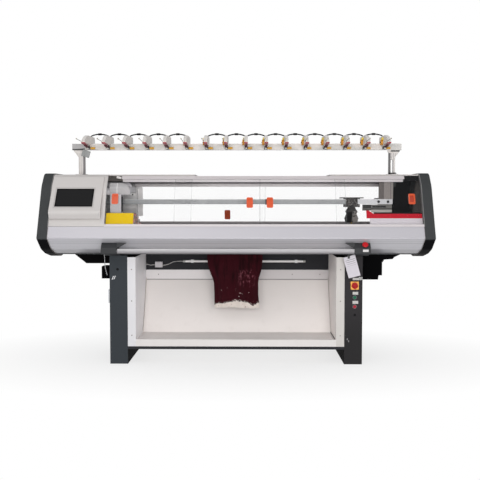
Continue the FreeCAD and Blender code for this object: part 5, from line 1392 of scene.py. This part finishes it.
class MACHINE_OT_stage(bpy.types.Operator):
    """Sets the light, the floor and the camera"""
    bl_idname = "machine.stage"
    bl_label = "Stage"

    def execute(self, context):
        settings = context.scene.stage_settings
        self.world(settings)
        key = self.lamp("key_lamp", settings.key, 2.6, (-1.6, -3.6, 4.2), (0.0, 0.0, 0.9))
        fill = self.lamp("fill_lamp", settings.fill, 3.0, (0.3, -5.4, 0.75), (0.0, 0.0, 0.65))
        floor = self.floor()
        camera = self.camera(settings)
        context.scene.view_settings.view_transform = "Standard"
        return {"FINISHED"}

    def lamp(self, name, energy, size, place, target):
        """A large square lamp turned towards a point."""
        light = bpy.data.lights.new(name, "AREA")
        light.energy = energy
        light.size = size
        light.color = (1.0, 0.985, 0.97)
        lamp = bpy.data.objects.new(name, light)
        lamp.location = place
        lamp.rotation_euler = (Vector(target) - lamp.location).to_track_quat("-Z", "Y").to_euler()
        lamp.visible_camera = False
        bpy.context.scene.collection.objects.link(lamp)
        return lamp

    def world(self, settings):
        """Even light, stronger from above and from the front; camera, metal and glass see plain white."""
        world = bpy.data.worlds.new("even_light")
        world.use_nodes = True
        tree = world.node_tree
        tree.nodes.clear()
        direction = tree.nodes.new("ShaderNodeTexCoord")
        parts = tree.nodes.new("ShaderNodeSeparateXYZ")
        tree.links.new(direction.outputs["Generated"], parts.inputs[0])
        above = Signal(tree, parts.outputs[2]).ramp(-0.2, 1.0) * settings.world_top
        front = Signal(tree, parts.outputs[1]).ramp(0.2, -1.0) * settings.world_front
        level = above + front + settings.world_side
        sky = tree.nodes.new("ShaderNodeBackground")
        sky.inputs["Color"].default_value = (0.97, 0.985, 1.0, 1.0)
        tree.links.new(level.socket, sky.inputs["Strength"])
        paper = tree.nodes.new("ShaderNodeBackground")
        paper.inputs["Color"].default_value = (1.0, 1.0, 1.0, 1.0)
        mix = tree.nodes.new("ShaderNodeMixShader")
        tree.links.new(seen_rays(tree).socket, mix.inputs[0])
        tree.links.new(sky.outputs[0], mix.inputs[1])
        tree.links.new(paper.outputs[0], mix.inputs[2])
        sheet = tree.nodes.new("ShaderNodeOutputWorld")
        tree.links.new(mix.outputs[0], sheet.inputs["Surface"])
        bpy.context.scene.world = world

    def floor(self):
        """A pale floor that keeps the machine's shadow near it and runs out to white."""
        bm = bmesh.new()
        bmesh.ops.create_grid(bm, x_segments=1, y_segments=1, size=9.0)
        mesh = bpy.data.meshes.new("floor")
        bm.to_mesh(mesh)
        bm.free()
        floor = bpy.data.objects.new("floor", mesh)
        floor.location = (0.0, 0.0, -0.0005)
        finish = Finish("floor_paper")
        fine = finish.noise(60.0, 3.0)
        seen = seen_rays(finish.tree)
        paper = finish.mix(tone(236, 236, 236), tone(242, 242, 241), fine)
        finish.set(Base_Color=finish.mix(tone(206, 206, 208), paper, seen), Roughness=0.75)
        away = finish.make("ShaderNodeVectorMath", {"operation": "LENGTH"},
                           {0: finish.stretched((0.55, 1.0, 1.0))}, 1)
        white = finish.tree.nodes.new("ShaderNodeEmission")
        white.inputs["Color"].default_value = (1.0, 1.0, 1.0, 1.0)
        mix = finish.tree.nodes.new("ShaderNodeMixShader")
        finish.feed(mix.inputs[0], seen * (away.ramp(0.4, 1.3) * 0.30 + 0.40) + 0.30)
        finish.tree.links.new(finish.shader.outputs[0], mix.inputs[1])
        finish.tree.links.new(white.outputs[0], mix.inputs[2])
        finish.tree.links.new(mix.outputs[0], finish.sheet.inputs["Surface"])
        mesh.materials.append(finish.material)
        bpy.context.scene.collection.objects.link(floor)
        return floor

    def camera(self, settings):
        """The camera, where the photograph was taken from."""
        lens = bpy.data.cameras.new("photo_camera")
        lens.sensor_width = 36.0
        lens.lens = settings.focal
        lens.clip_end = 60.0
        camera = bpy.data.objects.new("photo_camera", lens)
        camera.location = settings.eye
        camera.rotation_euler = (math.radians(90.0) - settings.pitch, 0.0, settings.yaw)
        bpy.context.scene.collection.objects.link(camera)
        bpy.context.scene.camera = camera
        return camera


class MACHINE_PT_sidebar(bpy.types.Panel):
    """One button for each part of the work"""
    bl_idname = "MACHINE_PT_sidebar"
    bl_label = "Flat knitting machine"
    bl_space_type = "VIEW_3D"
    bl_region_type = "UI"
    bl_category = "Knitting"

    def draw(self, context):
        for operator in OPERATORS:
            self.layout.operator(operator.bl_idname)
        scene = context.scene
        for settings in (scene.machine_sizes, scene.machine_colours, scene.stage_settings):
            box = self.layout.box()
            for name in settings.__annotations__:
                box.prop(settings, name)


OPERATORS = (
    MACHINE_OT_housing, MACHINE_OT_doors, MACHINE_OT_beds, MACHINE_OT_carriage, MACHINE_OT_guards,
    MACHINE_OT_cabinet, MACHINE_OT_controls, MACHINE_OT_lamp, MACHINE_OT_cloth, MACHINE_OT_tension,
    MACHINE_OT_leads, MACHINE_OT_fittings, MACHINE_OT_stage,
)
CLASSES = (MachineColours, MachineSizes, StageSettings) + OPERATORS + (MACHINE_PT_sidebar,)


def register():
    for kind in CLASSES:
        bpy.utils.register_class(kind)
    bpy.types.Scene.machine_colours = bpy.props.PointerProperty(type=MachineColours)
    bpy.types.Scene.machine_sizes = bpy.props.PointerProperty(type=MachineSizes)
    bpy.types.Scene.stage_settings = bpy.props.PointerProperty(type=StageSettings)


def unregister():
    del bpy.types.Scene.stage_settings
    del bpy.types.Scene.machine_sizes
    del bpy.types.Scene.machine_colours
    for kind in reversed(CLASSES):
        bpy.utils.unregister_class(kind)


def main():
    register()
    bpy.ops.machine.housing()
    bpy.ops.machine.doors()
    bpy.ops.machine.beds()
    bpy.ops.machine.carriage()
    bpy.ops.machine.guards()
    bpy.ops.machine.cabinet()
    bpy.ops.machine.controls()
    bpy.ops.machine.lamp()
    bpy.ops.machine.cloth()
    bpy.ops.machine.tension()
    bpy.ops.machine.leads()
    bpy.ops.machine.fittings()
    bpy.ops.machine.stage()


if __name__ == "__main__":
    main()
